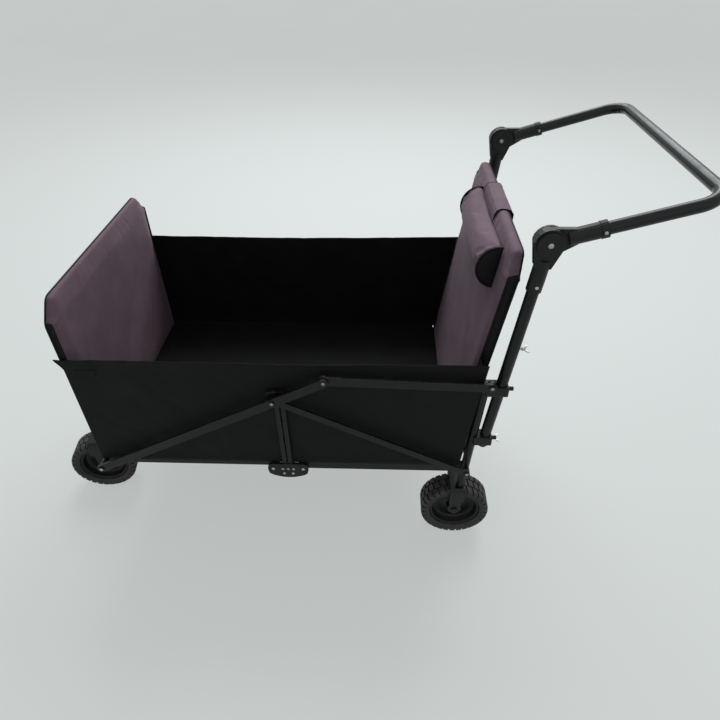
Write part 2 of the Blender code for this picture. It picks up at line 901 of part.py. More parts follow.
def front_panel():
    half = front_panel_thickness / 2
    return padded_panel(
        front_panel_bottom,
        front_panel_top,
        tub_inside - front_panel_inset,
        front_panel_corner_inset,
        front_panel_corner_drop,
        -half,
        half,
    )


def leaning(obj, foot_x, foot_z):
    """Tips a piece back with the rear panel, about a line across the trolley."""
    foot = Matrix.Translation((foot_x, 0, foot_z))
    obj.data.transform(foot @ Matrix.Rotation(rear_panel_lean, 4, "Y") @ foot.inverted())
    return obj


def rear_panel():
    foot_z = tub_bottom - panel_rounding
    foot_x = rear_face_x(foot_z)
    panel = padded_panel(
        foot_z,
        foot_z + (rear_panel_top - foot_z) / math.cos(rear_panel_lean),
        rear_panel_edge,
        rear_panel_corner_inset,
        rear_panel_corner_drop / math.cos(rear_panel_lean),
        foot_x,
        foot_x + rear_panel_thickness,
    )
    return leaning(panel, foot_x, foot_z)


def bolster():
    """The pillow on the rear panel's inner face: round in front and flat against the panel."""
    face_x = rear_face_x(bolster_middle)
    back = face_x - 2 * seat_gap
    steps = 2 * arc_steps
    outline = [
        (
            back - bolster_depth * math.cos(math.pi * (n / steps - 1 / 2)),
            bolster_middle + bolster_height / 2 * math.sin(math.pi * (n / steps - 1 / 2)),
        )
        for n in range(steps + 1)
    ]
    roll = flat([outline], bolster_y - bolster_half_length, bolster_y + bolster_half_length)
    return leaning(rounded(roll, bolster_rounding), face_x, bolster_middle)


def build():
    base = pivot("trolley", 0, 0, 0)
    front_brace_pivot = pivot("crossing_pivot", crossing[0], 0, crossing[1], base)
    front_frame = pivot("front_pivot", front_pivot[0], 0, front_pivot[1], base)
    rear_brace_pivot = pivot("rear_pivot", rear_pivot[0], 0, rear_pivot[1], base)
    link_pivot = pivot("top_link_pivot", top_pin[0], 0, top_pin[1], base)
    rear_half_pivot = pivot("rear_half_bar_pivot", rear_foot_pin[0], 0, rear_foot_pin[1], base)
    front_half_pivot = pivot("front_half_bar_pivot", front_foot_pin[0], 0, front_foot_pin[1], base)
    bracket_pivot = pivot("bracket_pivot", crossing[0], 0, crossing[1], base)
    hub_pivot = pivot("hub_slide", hub[0], 0, hub[1], base)
    handle_pivot = pivot("handle_pivot", knuckle[0], 0, knuckle[1], base)

    for side, name in SIDES:
        piece(rear_post(side), "rear_post_" + name, black_metal, base)
        axle_place = (rear_axle[0], side * rear_wheel_y, rear_axle[1])
        piece(fork(rear_axle[0], side * rear_wheel_y), "rear_fork_" + name, black_metal, base)
        rear_axle_pivot = pivot("rear_axle_" + name, *axle_place, base)
        wheel("rear_wheel_" + name, axle_place, rear_axle_pivot)
        piece(handle_tube(side), "handle_tube_" + name, black_metal, base)
        piece(collar(side, lower_collar_height), "lower_collar_" + name, black_plastic, base)
        piece(top_collar(side), "upper_collar_" + name, black_metal, base)
        piece(lower_socket(side), "knuckle_cheeks_" + name, black_plastic, base)
        piece(upper_socket(side), "knuckle_arm_" + name, black_plastic, handle_pivot)
        rear_brace = bar(
            side, brace_y, crossing, rear_pivot, rear_brace_width, [crossing, rear_pivot]
        )
        piece(rear_brace, "rear_brace_" + name, black_metal, rear_brace_pivot)
        front_brace = bar(
            side, outer_brace_y, front_pivot, brace_end, front_brace_width, [front_pivot, crossing]
        )
        piece(front_brace, "front_brace_" + name, black_metal, front_brace_pivot)
        link = bar(side, brace_y, brace_end, top_pin, top_link_width, [top_pin], lug_radius)
        piece(link, "top_link_" + name, black_metal, link_pivot)
        front_half = bar(
            side, half_bar_y, front_foot_pin, front_hub_pin, half_bar_width, [front_foot_pin]
        )
        piece(front_half, "front_half_bar_" + name, black_metal, front_half_pivot)
        rear_half = bar(
            side, rear_half_bar_y, rear_hub_pin, rear_foot_pin, half_bar_width, [rear_foot_pin]
        )
        piece(rear_half, "rear_half_bar_" + name, black_metal, rear_half_pivot)
        piece(centre_bracket(side), "centre_bracket_" + name, black_metal, bracket_pivot)
        piece(centre_hub(side), "centre_hub_" + name, black_metal, hub_pivot)
        piece(front_foot(side), "front_foot_" + name, black_metal, front_frame)
        piece(caster_bracket(side), "caster_bracket_" + name, black_metal, front_frame)
        caster(side, name, front_frame)
        piece(side_wall(side), "side_wall_" + name, tub_fabric, base)

    tube_end = half_bar_y + bar_thickness + layer_gap - seat_gap
    front_tube = rod((0, -tube_end, pivot_height), (0, tube_end, pivot_height), front_tube_radius)
    piece(front_tube, "front_cross_tube", black_metal, front_frame)
    hub_end = guide_y - seat_gap
    hub_tube_z = hub[1] - hub_tube_drop
    hub_tube = rod((hub[0], -hub_end, hub_tube_z), (hub[0], hub_end, hub_tube_z), hub_tube_radius)
    piece(hub_tube, "hub_cross_tube", black_metal, hub_pivot)
    rear_tube_height = pivot_height + rear_tube_rise
    rear_tube_x = between(post_foot, post_top, rear_tube_height)
    rear_end_y = post_y - post_radius - seat_gap
    rear_tube = rod(
        (rear_tube_x, -rear_end_y, rear_tube_height),
        (rear_tube_x, rear_end_y, rear_tube_height),
        cross_tube_radius,
    )
    piece(rear_tube, "rear_cross_tube", black_metal, base)
    piece(tub_floor(), "tub_floor", tub_fabric, base)
    piece(front_panel(), "front_panel", panel_fabric, front_frame)
    piece(rear_panel(), "rear_panel", panel_fabric, base)
    piece(bolster(), "bolster", panel_fabric, base)
    piece(handle_bar(), "handle_bar", black_metal, handle_pivot)
    base.location.x = -middle_x


clear_scene()
trolley = bpy.data.collections.new("camping_trolley")
bpy.context.scene.collection.children.link(trolley)
build()
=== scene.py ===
"""The looks of a folding camping trolley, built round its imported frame."""

import functools
import json
import math

import bmesh
import bpy
from mathutils import Matrix, Vector, noise


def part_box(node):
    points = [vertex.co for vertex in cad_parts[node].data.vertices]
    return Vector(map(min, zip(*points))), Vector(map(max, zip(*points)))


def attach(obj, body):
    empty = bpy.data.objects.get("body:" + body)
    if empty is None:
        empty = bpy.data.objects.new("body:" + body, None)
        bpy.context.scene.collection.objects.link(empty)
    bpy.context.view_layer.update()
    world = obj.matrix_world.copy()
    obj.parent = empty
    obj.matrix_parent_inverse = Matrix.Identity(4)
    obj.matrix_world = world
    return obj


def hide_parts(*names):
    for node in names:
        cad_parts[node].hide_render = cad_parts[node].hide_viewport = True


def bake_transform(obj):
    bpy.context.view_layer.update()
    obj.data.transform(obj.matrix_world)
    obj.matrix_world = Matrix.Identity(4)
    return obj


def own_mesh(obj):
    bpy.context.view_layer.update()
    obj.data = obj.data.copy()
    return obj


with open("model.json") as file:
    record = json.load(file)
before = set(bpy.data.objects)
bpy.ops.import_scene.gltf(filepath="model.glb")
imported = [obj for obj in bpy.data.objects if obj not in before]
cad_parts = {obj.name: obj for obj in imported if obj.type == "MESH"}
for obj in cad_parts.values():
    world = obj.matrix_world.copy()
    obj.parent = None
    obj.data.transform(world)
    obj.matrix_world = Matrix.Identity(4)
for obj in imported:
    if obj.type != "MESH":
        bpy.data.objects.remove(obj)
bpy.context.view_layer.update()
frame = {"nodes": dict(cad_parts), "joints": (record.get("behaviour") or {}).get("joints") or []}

nodes = frame["nodes"]

# Rear frame: two leaning posts, the cross tube under the tub and the bent forks of the rear
# wheels. They are steel tube and strip, welded and powder-coated a satin black, with a fine
# orange-peel skin that is rubbed pale along the edges of the pressings.
coat_black = (0.006, 0.006, 0.0068, 1)
coat_dust = (0.03, 0.029, 0.028, 1)
bare_steel = (0.32, 0.31, 0.3, 1)
peel_size = 0.0011
dust_size = 0.03
edge_radius = 0.0007
frame_gloss = 0.36
coat_shine = 0.28
sides = (("left", -1), ("right", 1))


def group_of(name, inputs, outputs):
    """A shader node group with its named sockets, and its input and output nodes."""
    made = bpy.data.node_groups.new(name, "ShaderNodeTree")
    for title, value in inputs:
        made.interface.new_socket(
            title, in_out="INPUT", socket_type="NodeSocketFloat"
        ).default_value = value
    for title, kind in outputs:
        made.interface.new_socket(title, in_out="OUTPUT", socket_type="NodeSocket" + kind)
    return made, made.nodes.new("NodeGroupInput"), made.nodes.new("NodeGroupOutput")


def step(tree, kind, links=None, **settings):
    """A node of this kind with its own settings and what is linked into its sockets."""
    node = tree.nodes.new("ShaderNode" + kind)
    for name, value in settings.items():
        setattr(node, name, value)
    for name, source in (links or {}).items():
        if isinstance(source, bpy.types.NodeSocket):
            tree.links.new(source, node.inputs[name])
        else:
            node.inputs[name].default_value = source
    return node


def ranged(tree, source, start, end, low, high):
    """A value carried from one range to another."""
    return step(tree, "MapRange", {0: source, 1: start, 2: end, 3: low, 4: high}).outputs[0]


def uneven(tree, patches, low, high):
    """Roughness from low to high, as the patches of a skin go."""
    return ranged(tree, patches, 0.3, 0.7, low, high)


def product(tree, first, second):
    """Two values or masks multiplied."""
    return step(tree, "Math", {0: first, 1: second}, operation="MULTIPLY").outputs[0]


def toned(tree, share, first, second):
    """One colour that goes over into another by a share."""
    return step(tree, "Mix", {0: share, 6: first, 7: second}, data_type="RGBA").outputs[2]


def clouds(tree, place, scale, detail):
    """Soft noise at a scale, on a place's own coordinates."""
    pattern = {"Vector": place, "Scale": scale, "Detail": detail}
    return step(tree, "TexNoise", pattern).outputs["Fac"]


def inverse(tree, size):
    """How often a pattern of this size repeats in a metre."""
    return step(tree, "Math", {0: 1.0, 1: size}, operation="DIVIDE").outputs[0]


def dusting_group():
    """Dust lying on what faces up, in soft patches: a mask from 0 to the amount."""
    inputs = [("Amount", 0.3), ("Patch size", dust_size)]
    made, given, out = group_of("dusting", inputs, [("Mask", "Float")])
    place = step(made, "TexCoord")
    scale = inverse(made, given.outputs["Patch size"])
    patches = clouds(made, place.outputs["Object"], scale, 5.0)
    facing = step(made, "SeparateXYZ", {0: place.outputs["Normal"]})
    up = ranged(made, facing.outputs["Z"], -0.2, 1.0, 0.15, 1.0)
    both = product(made, up, ranged(made, patches, 0.38, 0.7, 0.0, 1.0))
    made.links.new(product(made, both, given.outputs["Amount"]), out.inputs["Mask"])
    return made


def rubbed_edges_group():
    """Where a coat is rubbed along an edge: a mask from a rounded normal, broken up by noise."""
    inputs = [("Radius", edge_radius), ("Amount", 0.6)]
    made, given, out = group_of("rubbed_edges", inputs, [("Mask", "Float"), ("Normal", "Vector")])
    soft = step(made, "Bevel", {"Radius": given.outputs["Radius"]}, samples=4).outputs[0]
    hard = step(made, "NewGeometry").outputs["Normal"]
    near = step(made, "VectorMath", {0: soft, 1: hard}, operation="DOT_PRODUCT").outputs["Value"]
    chips = clouds(made, step(made, "TexCoord").outputs["Object"], 90.0, 6.0)
    edge = ranged(made, near, 0.985, 0.9, 0.0, 1.0)
    both = product(made, edge, ranged(made, chips, 0.42, 0.62, 0.0, 1.0))
    made.links.new(product(made, both, given.outputs["Amount"]), out.inputs["Mask"])
    made.links.new(soft, out.inputs["Normal"])
    return made


def grain_group():
    """A fine skin, such as orange peel or moulded grain: a height, and broad patches."""
    outputs = [("Height", "Float"), ("Patches", "Float")]
    made, given, out = group_of("skin_grain", [("Grain size", peel_size)], outputs)
    place = step(made, "TexCoord").outputs["Object"]
    fine = clouds(made, place, inverse(made, given.outputs["Grain size"]), 2.0)
    made.links.new(fine, out.inputs["Height"])
    made.links.new(clouds(made, place, 25.0, 4.0), out.inputs["Patches"])
    return made


dusting = dusting_group()
rubbed_edges = rubbed_edges_group()
skin_grain = grain_group()


def placed(tree, group, **values):
    """A group placed in a material with its own values."""
    node = tree.nodes.new("ShaderNodeGroup")
    node.node_tree = group
    for name, value in values.items():
        node.inputs[name.replace("_", " ").capitalize()].default_value = value
    return node


def blank(name):
    """A new material, its node tree and its Principled shader."""
    made = bpy.data.materials.new(name)
    made.use_nodes = True
    return made, made.node_tree, made.node_tree.nodes["Principled BSDF"]


def skin(tree, shader, colour, rough, height, distance, strength, normal=None):
    """Links a surface's colour, its roughness and the relief of its skin to the shader."""
    tree.links.new(colour, shader.inputs["Base Color"])
    tree.links.new(rough, shader.inputs["Roughness"])
    relief = {"Height": height, "Distance": distance, "Strength": strength}
    if normal:
        relief["Normal"] = normal
    tree.links.new(step(tree, "Bump", relief).outputs[0], shader.inputs["Normal"])


def coated_steel(name, colour, gloss, wear=0.5, dust=0.2):
    """Powder-coated steel: its colour, gloss, rubbed edges and a little dust."""
    made, tree, shader = blank(name)
    edges = placed(tree, rubbed_edges, radius=edge_radius, amount=wear).outputs
    grain = placed(tree, skin_grain, grain_size=peel_size).outputs
    dirt = placed(tree, dusting, amount=dust).outputs["Mask"]
    worn = toned(tree, edges["Mask"], colour, bare_steel)
    rough = uneven(tree, grain["Patches"], gloss - 0.06, gloss + 0.08)
    matt = step(tree, "Math", {0: rough, 1: dirt}, operation="ADD").outputs[0]
    dusty = toned(tree, dirt, worn, coat_dust)
    skin(tree, shader, dusty, matt, grain["Height"], 0.0001, 0.35, edges["Normal"])
    tree.links.new(edges["Mask"], shader.inputs["Metallic"])
    shader.inputs["Specular IOR Level"].default_value = coat_shine
    return made


def finish(node, look):
    """Gives a carried-over node its finish."""
    for place in nodes[node].material_slots:
        place.material = look


satin_black = coated_steel("satin_black_coat", coat_black, frame_gloss)
for side, _ in sides:
    for node in ("rear_post_", "rear_fork_", "upper_collar_", "handle_tube_"):
        finish(node + side, satin_black)
finish("rear_cross_tube", satin_black)

# Rivets: every pivot of the side bars turns on a steel rivet. Its domed head is zinc-plated, and
# stands a little proud of the black washer or plate that it holds.
rivet_radius = 0.0042
rivet_rise = 0.0012
rivet_sink = 0.0006
rivet_steps = 20
zinc_grey = (0.5, 0.5, 0.49, 1)
zinc_stain = (0.16, 0.15, 0.14, 1)
zinc_grain = 0.0006
zinc_rough = (0.42, 0.56)
joint_at = {}
for joint in frame["joints"]:
    if joint.get("pos_m"):
        joint_at[joint["name"]] = Vector(joint["pos_m"])


def kept(form, name, crease=35):
    """Turns finished mesh code into a piece of the scene, smooth but for its sharp edges."""
    bmesh.ops.recalc_face_normals(form, faces=form.faces)
    mesh = bpy.data.meshes.new(name)
    form.to_mesh(mesh)
    form.free()
    mesh.shade_smooth()
    mesh.set_sharp_from_angle(angle=math.radians(crease))
    obj = bpy.data.objects.new(name, mesh)
    bpy.context.scene.collection.objects.link(obj)
    return obj


def dressed(obj, look, body):
    """Gives a new piece its finish and the body that it rides on."""
    obj.data.materials.append(look)
    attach(obj, body)
    return obj


def turned(form, profile, place, aim, steps=48, closed=False):
    """Adds a turned shape: (radius, distance) points taken round a line from place along aim."""
    place, aim = Vector(place), Vector(aim).normalized()
    first = aim.orthogonal().normalized()
    second = aim.cross(first)
    rings = []
    for radius, distance in profile:
        centre = place + aim * distance
        ring = []
        for n in range(steps if radius else 1):
            turn = math.tau * n / steps
            way = first * math.cos(turn) + second * math.sin(turn)
            ring.append(form.verts.new(centre + way * radius))
        rings.append(ring)
    for near, far in zip(rings, [*rings[1:], rings[0]] if closed else rings[1:]):
        for n in range(steps):
            corners = (near[n % len(near)], near[(n + 1) % len(near)])
            corners += (far[(n + 1) % len(far)], far[n % len(far)])
            form.faces.new(dict.fromkeys(corners))


def bridged(form, near, far):
    """The faces between two rings with as many corners."""
    for n in range(len(near)):
        form.faces.new((near[n - 1], near[n], far[n], far[n - 1]))


def rivet(form, x, y, z, side, radius=rivet_radius, rise=rivet_rise):
    """A domed head on the outer face of what it holds."""
    profile = [(radius, -rivet_sink)]
    for turn in (0, 25, 50, 70):
        angle = math.radians(turn)
        profile.append((radius * math.cos(angle), rise * math.sin(angle)))
    turned(form, [*profile, (0, rise)], (x, side * y, z), (0, side, 0), rivet_steps)


def zinc(name):
    """Bright zinc plate with dull stains in its skin."""
    made, tree, shader = blank(name)
    grain = placed(tree, skin_grain, grain_size=zinc_grain).outputs
    stain = ranged(tree, grain["Patches"], 0.45, 0.75, 0.0, 1.0)
    rough = uneven(tree, grain["Height"], *zinc_rough)
    tone = toned(tree, stain, zinc_grey, zinc_stain)
    skin(tree, shader, tone, rough, grain["Height"], 0.00005, 0.4)
    shader.inputs["Metallic"].default_value = 1.0
    return made


def outer_face(node):
    """How far from the middle the outer face of a node on one side lies."""
    return max(abs(corner.y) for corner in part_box(node))


def middle_of(node, axis):
    """The middle of a node's box along one axis: 0, 1 or 2 for x, y or z."""
    return sum(corner[axis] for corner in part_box(node)) / 2


bright_zinc = zinc("bright_zinc")
post_screw_drop = 0.0125
post_screw_ahead = 0.0083
post_radius = 0.0105
elbow_end_radius = 0.011
screw_radius = 0.0036
flat_rise = 0.0006
hub_screw_pitch = 0.0135
hub_screw_drop = 0.0165
low_screw_reach = 0.011
hub_pin_reach = 0.038
front_plate = 0.0038
rear_pin, link_pin = joint_at["fold"], joint_at["top_link_fold"]
bar_pin, low_pin = joint_at["rear_half_bar_fold"], joint_at["front_half_bar_fold"]
crossing_pin, front_pin = joint_at["front_brace_fold"], joint_at["front_frame_fold"]
for side, sign in sides:

    def riveted(name, body, rivets):
        """One piece with all the rivets that ride on a body."""
        form = bmesh.new()
        for x, face, z, *sizes in rivets:
            rivet(form, x, face, z, sign, *sizes)
        dressed(kept(form, name + side), bright_zinc, body)

    post_face = outer_face("rear_post_" + side)
    plate = post_face - outer_face("rear_brace_" + side)
    post_middle = abs(middle_of("handle_tube_" + side, 1))
    rear_rivets = [
        (rear_pin.x, post_face, rear_pin.z),
        (link_pin.x, outer_face("upper_collar_" + side), link_pin.z),
        (bar_pin.x, outer_face("rear_half_bar_" + side) + plate, bar_pin.z),
    ]
    screw_x, screw_z = link_pin.x - post_screw_ahead, link_pin.z - post_screw_drop
    rear_rivets.append((screw_x, post_middle + post_radius, screw_z, screw_radius))
    riveted("rear_rivets_", "rear_frame", rear_rivets)
    crossing_face = outer_face("centre_bracket_" + side)
    crossing = [(crossing_pin.x, crossing_face, crossing_pin.z)]
    riveted("crossing_rivet_", "centre_brackets", crossing)
    bar_face = outer_face("front_half_bar_" + side) + front_plate
    front_rivets = [(front_pin.x, outer_face("front_foot_" + side), front_pin.z)]
    front_rivets.append((low_pin.x, bar_face, low_pin.z))
    riveted("front_rivets_", "front_frame", front_rivets)
    brace_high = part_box("front_brace_" + side)[1]
    elbow_x, elbow_z = brace_high.x - elbow_end_radius, brace_high.z - elbow_end_radius
    elbow_face = outer_face("front_brace_" + side)
    riveted("elbow_rivet_", "front_braces", [(elbow_x, elbow_face, elbow_z)])
    hub_x, hub_face = middle_of("centre_hub_" + side, 0), outer_face("centre_hub_" + side)
    upper, lower = bar_pin.z, bar_pin.z - hub_screw_drop
    small, large = (screw_radius, flat_rise), (rivet_radius, flat_rise)
    hub_rivets = [(hub_x + n * hub_screw_pitch, hub_face, upper, *small) for n in (-1, 0, 1)]
    for n in (-1, 1):
        hub_rivets.append((hub_x + n * low_screw_reach, hub_face, lower, *small))
        hub_rivets.append((hub_x + n * hub_pin_reach, hub_face, upper, *large))
    riveted("hub_rivets_", "centre_hub", hub_rivets)

# Tyres: wide soft tyres moulded in dark grey rubber, with square shoulders, a row of blocks down
# the middle and one over each shoulder. They are pressed on to the rims.
wheel_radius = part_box("rear_wheel_left_tyre")[1].z / 2
groove_depth = 0.0035
block_edge = 0.0007
block_count = 30
block_share = 0.76
carcass_steps = 96
tread_slant = 2.2
middle_block = ((0.0098, -0.004), (0.0098, -0.0006), (0.0091, 0.0))
shoulder_block = (
    (0.0128, -0.0045),
    (0.013, -0.0006),
    (0.0137, 0.0),
    (0.0262, 0.0),
    (0.0294, -0.0014),
    (0.0318, -0.0046),
    (0.0328, -0.0098),
    (0.0316, -0.0135),
    (0.027, -0.0125),
)
carcass_half = (
    (0.0, -0.0035),
    (0.0245, -0.0035),
    (0.0288, -0.0055),
    (0.031, -0.0092),
    (0.0317, -0.0125),
    (0.0317, -0.0136),
    (0.0329, -0.0142),
    (0.0329, -0.0158),
    (0.0317, -0.0165),
    (0.0302, -0.0195),
    (0.0272, -0.0222),
    (0.0238, -0.0238),
)
rubber_black = (0.017, 0.0165, 0.017, 1)
# Pale tone on the tyre: dust, and painted grazing light on the top of the tread.
rubber_dust_and_grazing_light = (0.12, 0.105, 0.1, 1)
rubber_grain = 0.0013
rubber_rough = (0.5, 0.68)


def axle_frame(wheel):
    """A function that gives a point on a wheel from its radius, its y across and its angle."""
    joint = next(joint for joint in frame["joints"] if joint["name"] == wheel + "_spin")
    centre, axis = Vector(joint["pos_m"]), Vector(joint["axis"])
    ahead = axis.cross(Vector((0, 0, 1)))

    def point(radius, along, angle):
        rim_point = ahead * math.cos(angle) + Vector((0, 0, 1)) * math.sin(angle)
        return centre + axis * along + rim_point * radius

    return point


def tread_block(form, point, outline, start, end):
    """One block: its cross-section taken along the tread, with both ends cut back a little."""
    edge = block_edge / wheel_radius
    stations = ((start, 1), (start + edge, 0), ((start + end) / 2, 0), (end - edge, 0), (end, 1))
    sections = []
    for angle, cut in stations:
        section = []
        for along, depth in outline:
            radius = wheel_radius + min(depth, max(depth - cut * block_edge, -groove_depth))
            section.append(form.verts.new(point(radius, along, angle + along * tread_slant)))
        sections.append(section)
    for near, far in zip(sections, sections[1:]):
        bridged(form, near, far)
    form.faces.new(sections[0])
    form.faces.new(sections[-1][::-1])


def rubber(name):
    """Tyre rubber: matt where it is dusty, with a fine moulded skin; the pale dusty patches on the
    top of the tread also paint the grazing light there.
    """
    made, tree, shader = blank(name)
    grain = placed(tree, skin_grain, grain_size=rubber_grain).outputs
    dirt = placed(tree, dusting, amount=0.45, patch_size=0.02).outputs["Mask"]
    rough = uneven(tree, grain["Patches"], *rubber_rough)
    # Pale patches on what faces up: dust, and painted grazing light on the top of the tread.
    tone = toned(tree, dirt, rubber_black, rubber_dust_and_grazing_light)
    skin(tree, shader, tone, rough, grain["Height"], 0.00015, 0.5)
    return made


def mirrored(half):
    """A closed outline from its half on one side of the middle."""
    return [(-along, depth) for along, depth in half[::-1] if along] + list(half)


def tyre(wheel):
    """The carcass turned round the axle, and its blocks."""
    point = axle_frame(wheel)
    form = bmesh.new()
    outline = mirrored(carcass_half)
    columns = []
    for n in range(carcass_steps):
        angle = math.tau * n / carcass_steps
        places = [point(wheel_radius + depth, along, angle) for along, depth in outline]
        columns.append([form.verts.new(place) for place in places])
    for n, far in enumerate(columns):
        bridged(form, columns[n - 1], far)
    pitch = math.tau / block_count
    middle = mirrored(middle_block)
    left = [(-along, depth) for along, depth in shoulder_block]
    for n in range(block_count):
        start = n * pitch
        tread_block(form, point, middle, start, start + pitch * block_share)
        start += pitch / 2
        for outline in (shoulder_block, left):
            tread_block(form, point, outline, start, start + pitch * block_share)
    obj = kept(form, wheel + "_treaded_tyre", 30)
    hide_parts(wheel + "_tyre")
    return dressed(obj, tyre_rubber, wheel)


tyre_rubber = rubber("tyre_rubber_finish")
wheels = [end + "_wheel_" + side for end in ("rear", "front") for side, _ in sides]
for wheel in wheels:
    tyre(wheel)

# Rims: deep dished rims moulded in black nylon, with a flanged barrel, a thin stepped web and a
# hub for the axle.
rim_half = (
    (0.022, -0.0844),
    (0.022, -0.072),
    (0.0212, -0.0712),
    (0.008, -0.0708),
    (0.0045, -0.0695),
    (0.003, -0.066),
    (0.003, -0.052),
    (0.0022, -0.051),
    (0.0022, -0.0395),
    (0.0032, -0.036),
    (0.0065, -0.033),
    (0.0195, -0.0312),
    (0.0222, -0.0303),
    (0.0238, -0.0285),
    (0.024, -0.0262),
    (0.0234, -0.0247),
)
nylon_black = (0.006, 0.006, 0.0065, 1)
nylon_grain = 0.0007
nylon_shine = 0.3


def moulded(name, colour, gloss, dust=0.15):
    """Moulded plastic with a fine spark-eroded grain."""
    made, tree, shader = blank(name)
    edges = placed(tree, rubbed_edges, radius=edge_radius, amount=0.15).outputs
    grain = placed(tree, skin_grain, grain_size=nylon_grain).outputs
    dirt = placed(tree, dusting, amount=dust).outputs["Mask"]
    rough = uneven(tree, grain["Patches"], gloss - 0.05, gloss + 0.08)
    tone = toned(tree, dirt, colour, coat_dust)
    skin(tree, shader, tone, rough, grain["Height"], 0.0001, 0.5, edges["Normal"])
    shader.inputs["Specular IOR Level"].default_value = nylon_shine
    return made


moulded_nylon = moulded("moulded_nylon", nylon_black, 0.45)
for wheel in wheels:
    joint = next(joint for joint in frame["joints"] if joint["name"] == wheel + "_spin")
    outline = [(wheel_radius + depth, along) for along, depth in mirrored(rim_half)]
    form = bmesh.new()
    turned(form, outline, joint["pos_m"], joint["axis"], 96, closed=True)
    rim = kept(form, wheel + "_dished_rim", 40)
    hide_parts(wheel + "_rim")
    dressed(rim, moulded_nylon, wheel)

# Side bars: flat steel bars, pressed and punched, in the same black coat as the frame. They cross
# at a bracket that slides on two upright guides, and the bottom bars meet at a hub below.
for side, _ in sides:
    for bar in ("rear_brace_", "front_brace_", "top_link_", "rear_half_bar_", "front_half_bar_"):
        finish(bar + side, satin_black)
    for node in ("centre_bracket_", "centre_hub_"):
        finish(node + side, satin_black)
finish("hub_cross_tube", satin_black)

# Front frame: a foot plate at each end of the front tube, and the two arms under it that reach
# forward to the casters. The swivel forks are bent from strip like the fixed ones.
for side, _ in sides:
    for node in ("front_foot_", "caster_bracket_", "front_fork_"):
        finish(node + side, satin_black)
finish("front_cross_tube", satin_black)
cap_radius = 0.0175
cap_rise = 0.0035
housing_depth = 0.026
cap_turned = (
    (cap_radius, -0.003),
    (cap_radius, 0.0012),
    (cap_radius - 0.0015, cap_rise - 0.0006),
    (0.006, cap_rise),
    (0, cap_rise),
)
form = bmesh.new()
for side, sign in sides:
    swivel = joint_at["front_swivel_" + side]
    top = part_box("caster_bracket_" + side)[0].z + housing_depth
    turned(form, cap_turned, (swivel.x, swivel.y, top), (0, 0, 1), 40)
dressed(kept(form, "swivel_caps"), moulded_nylon, "front_frame")

# Push handle: a steel tube bent to a wide bow and coated a glossy black. The bender has left
# shallow ripples on the inside of both bends.
handle_black = (0.011, 0.011, 0.0125, 1)
ripple_depth = 0.0007
ripple_count = 5
bow_stations = 40
bar_stations = 60
bend_radius = 0.05
bend_steps = 48
bow_start = 0.052
tube_radius = (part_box("handle_tube_left")[1].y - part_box("handle_tube_left")[0].y) / 2
bow_tube_radius = tube_radius - 0.0001
handle_gloss = 0.2


def tube(form, route, radius_at, steps=32):
    """A round tube along a route; radius_at gives its radius at a station and a direction."""
    rings = []
    across = (route[1] - route[0]).orthogonal()
    for n, here in enumerate(route):
        along = (route[min(n + 1, len(route) - 1)] - route[max(n - 1, 0)]).normalized()
        across = (across - along * across.dot(along)).normalized()
        other = along.cross(across)
        ring = []
        for m in range(steps):
            turn = math.tau * m / steps
            outward = across * math.cos(turn) + other * math.sin(turn)
            ring.append(form.verts.new(here + outward * radius_at(n, outward)))
        rings.append(ring)
    for near, far in zip(rings, rings[1:]):
        bridged(form, near, far)
    form.faces.new(rings[0])
    form.faces.new(rings[-1][::-1])


handle_pin = joint_at["handle_fold"]
bow_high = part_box("handle_bar")[1]
bow_y = bow_high.y - tube_radius
bow_corner = Vector((bow_high.x - tube_radius, 0, bow_high.z - tube_radius))
arm_way = (bow_corner - handle_pin).normalized()
arm_end = (bow_corner - handle_pin).length - bend_radius


def arm_stations(side_y, start, end):
    """One arm of the bow, as stations with no bend."""
    for n in range(bow_stations + 1):
        reach = start + (end - start) * n / bow_stations
        yield handle_pin + arm_way * reach + Vector((0, side_y, 0)), None


stations = list(arm_stations(-bow_y, bow_start, arm_end))
for sign in (-1, 1):
    inside = bow_corner - arm_way * bend_radius + Vector((0, sign * (bow_y - bend_radius), 0))
    for n in range(1, bend_steps):
        turn = math.radians(90) * (n / bend_steps if sign < 0 else 1 - n / bend_steps)
        outward = Vector((0, sign * math.cos(turn), 0)) + arm_way * math.sin(turn)
        stations.append((inside + outward * bend_radius, (outward, n / bend_steps)))
    if sign < 0:
        for n in range(bar_stations + 1):
            y = (bow_y - bend_radius) * (2 * n / bar_stations - 1)
            stations.append((bow_corner + Vector((0, y, 0)), None))
stations += arm_stations(bow_y, arm_end, bow_start)


def bow_radius(n, outward):
    """The tube's radius, dented in ripples on the inside of a bend."""
    bend = stations[n][1]
    if bend is None:
        return bow_tube_radius
    inner = max(0, -outward.dot(bend[0])) ** 2
    wave = math.sin(math.pi * bend[1]) * (0.5 - 0.5 * math.cos(math.tau * ripple_count * bend[1]))
    return bow_tube_radius - ripple_depth * inner * wave


gloss_black = coated_steel("gloss_black_coat", handle_black, handle_gloss, 0.2, 0.08)
form = bmesh.new()
tube(form, [place for place, _ in stations], bow_radius)
bow = kept(form, "handle_bow", 50)
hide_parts("handle_bar")
dressed(bow, gloss_black, "push_handle")

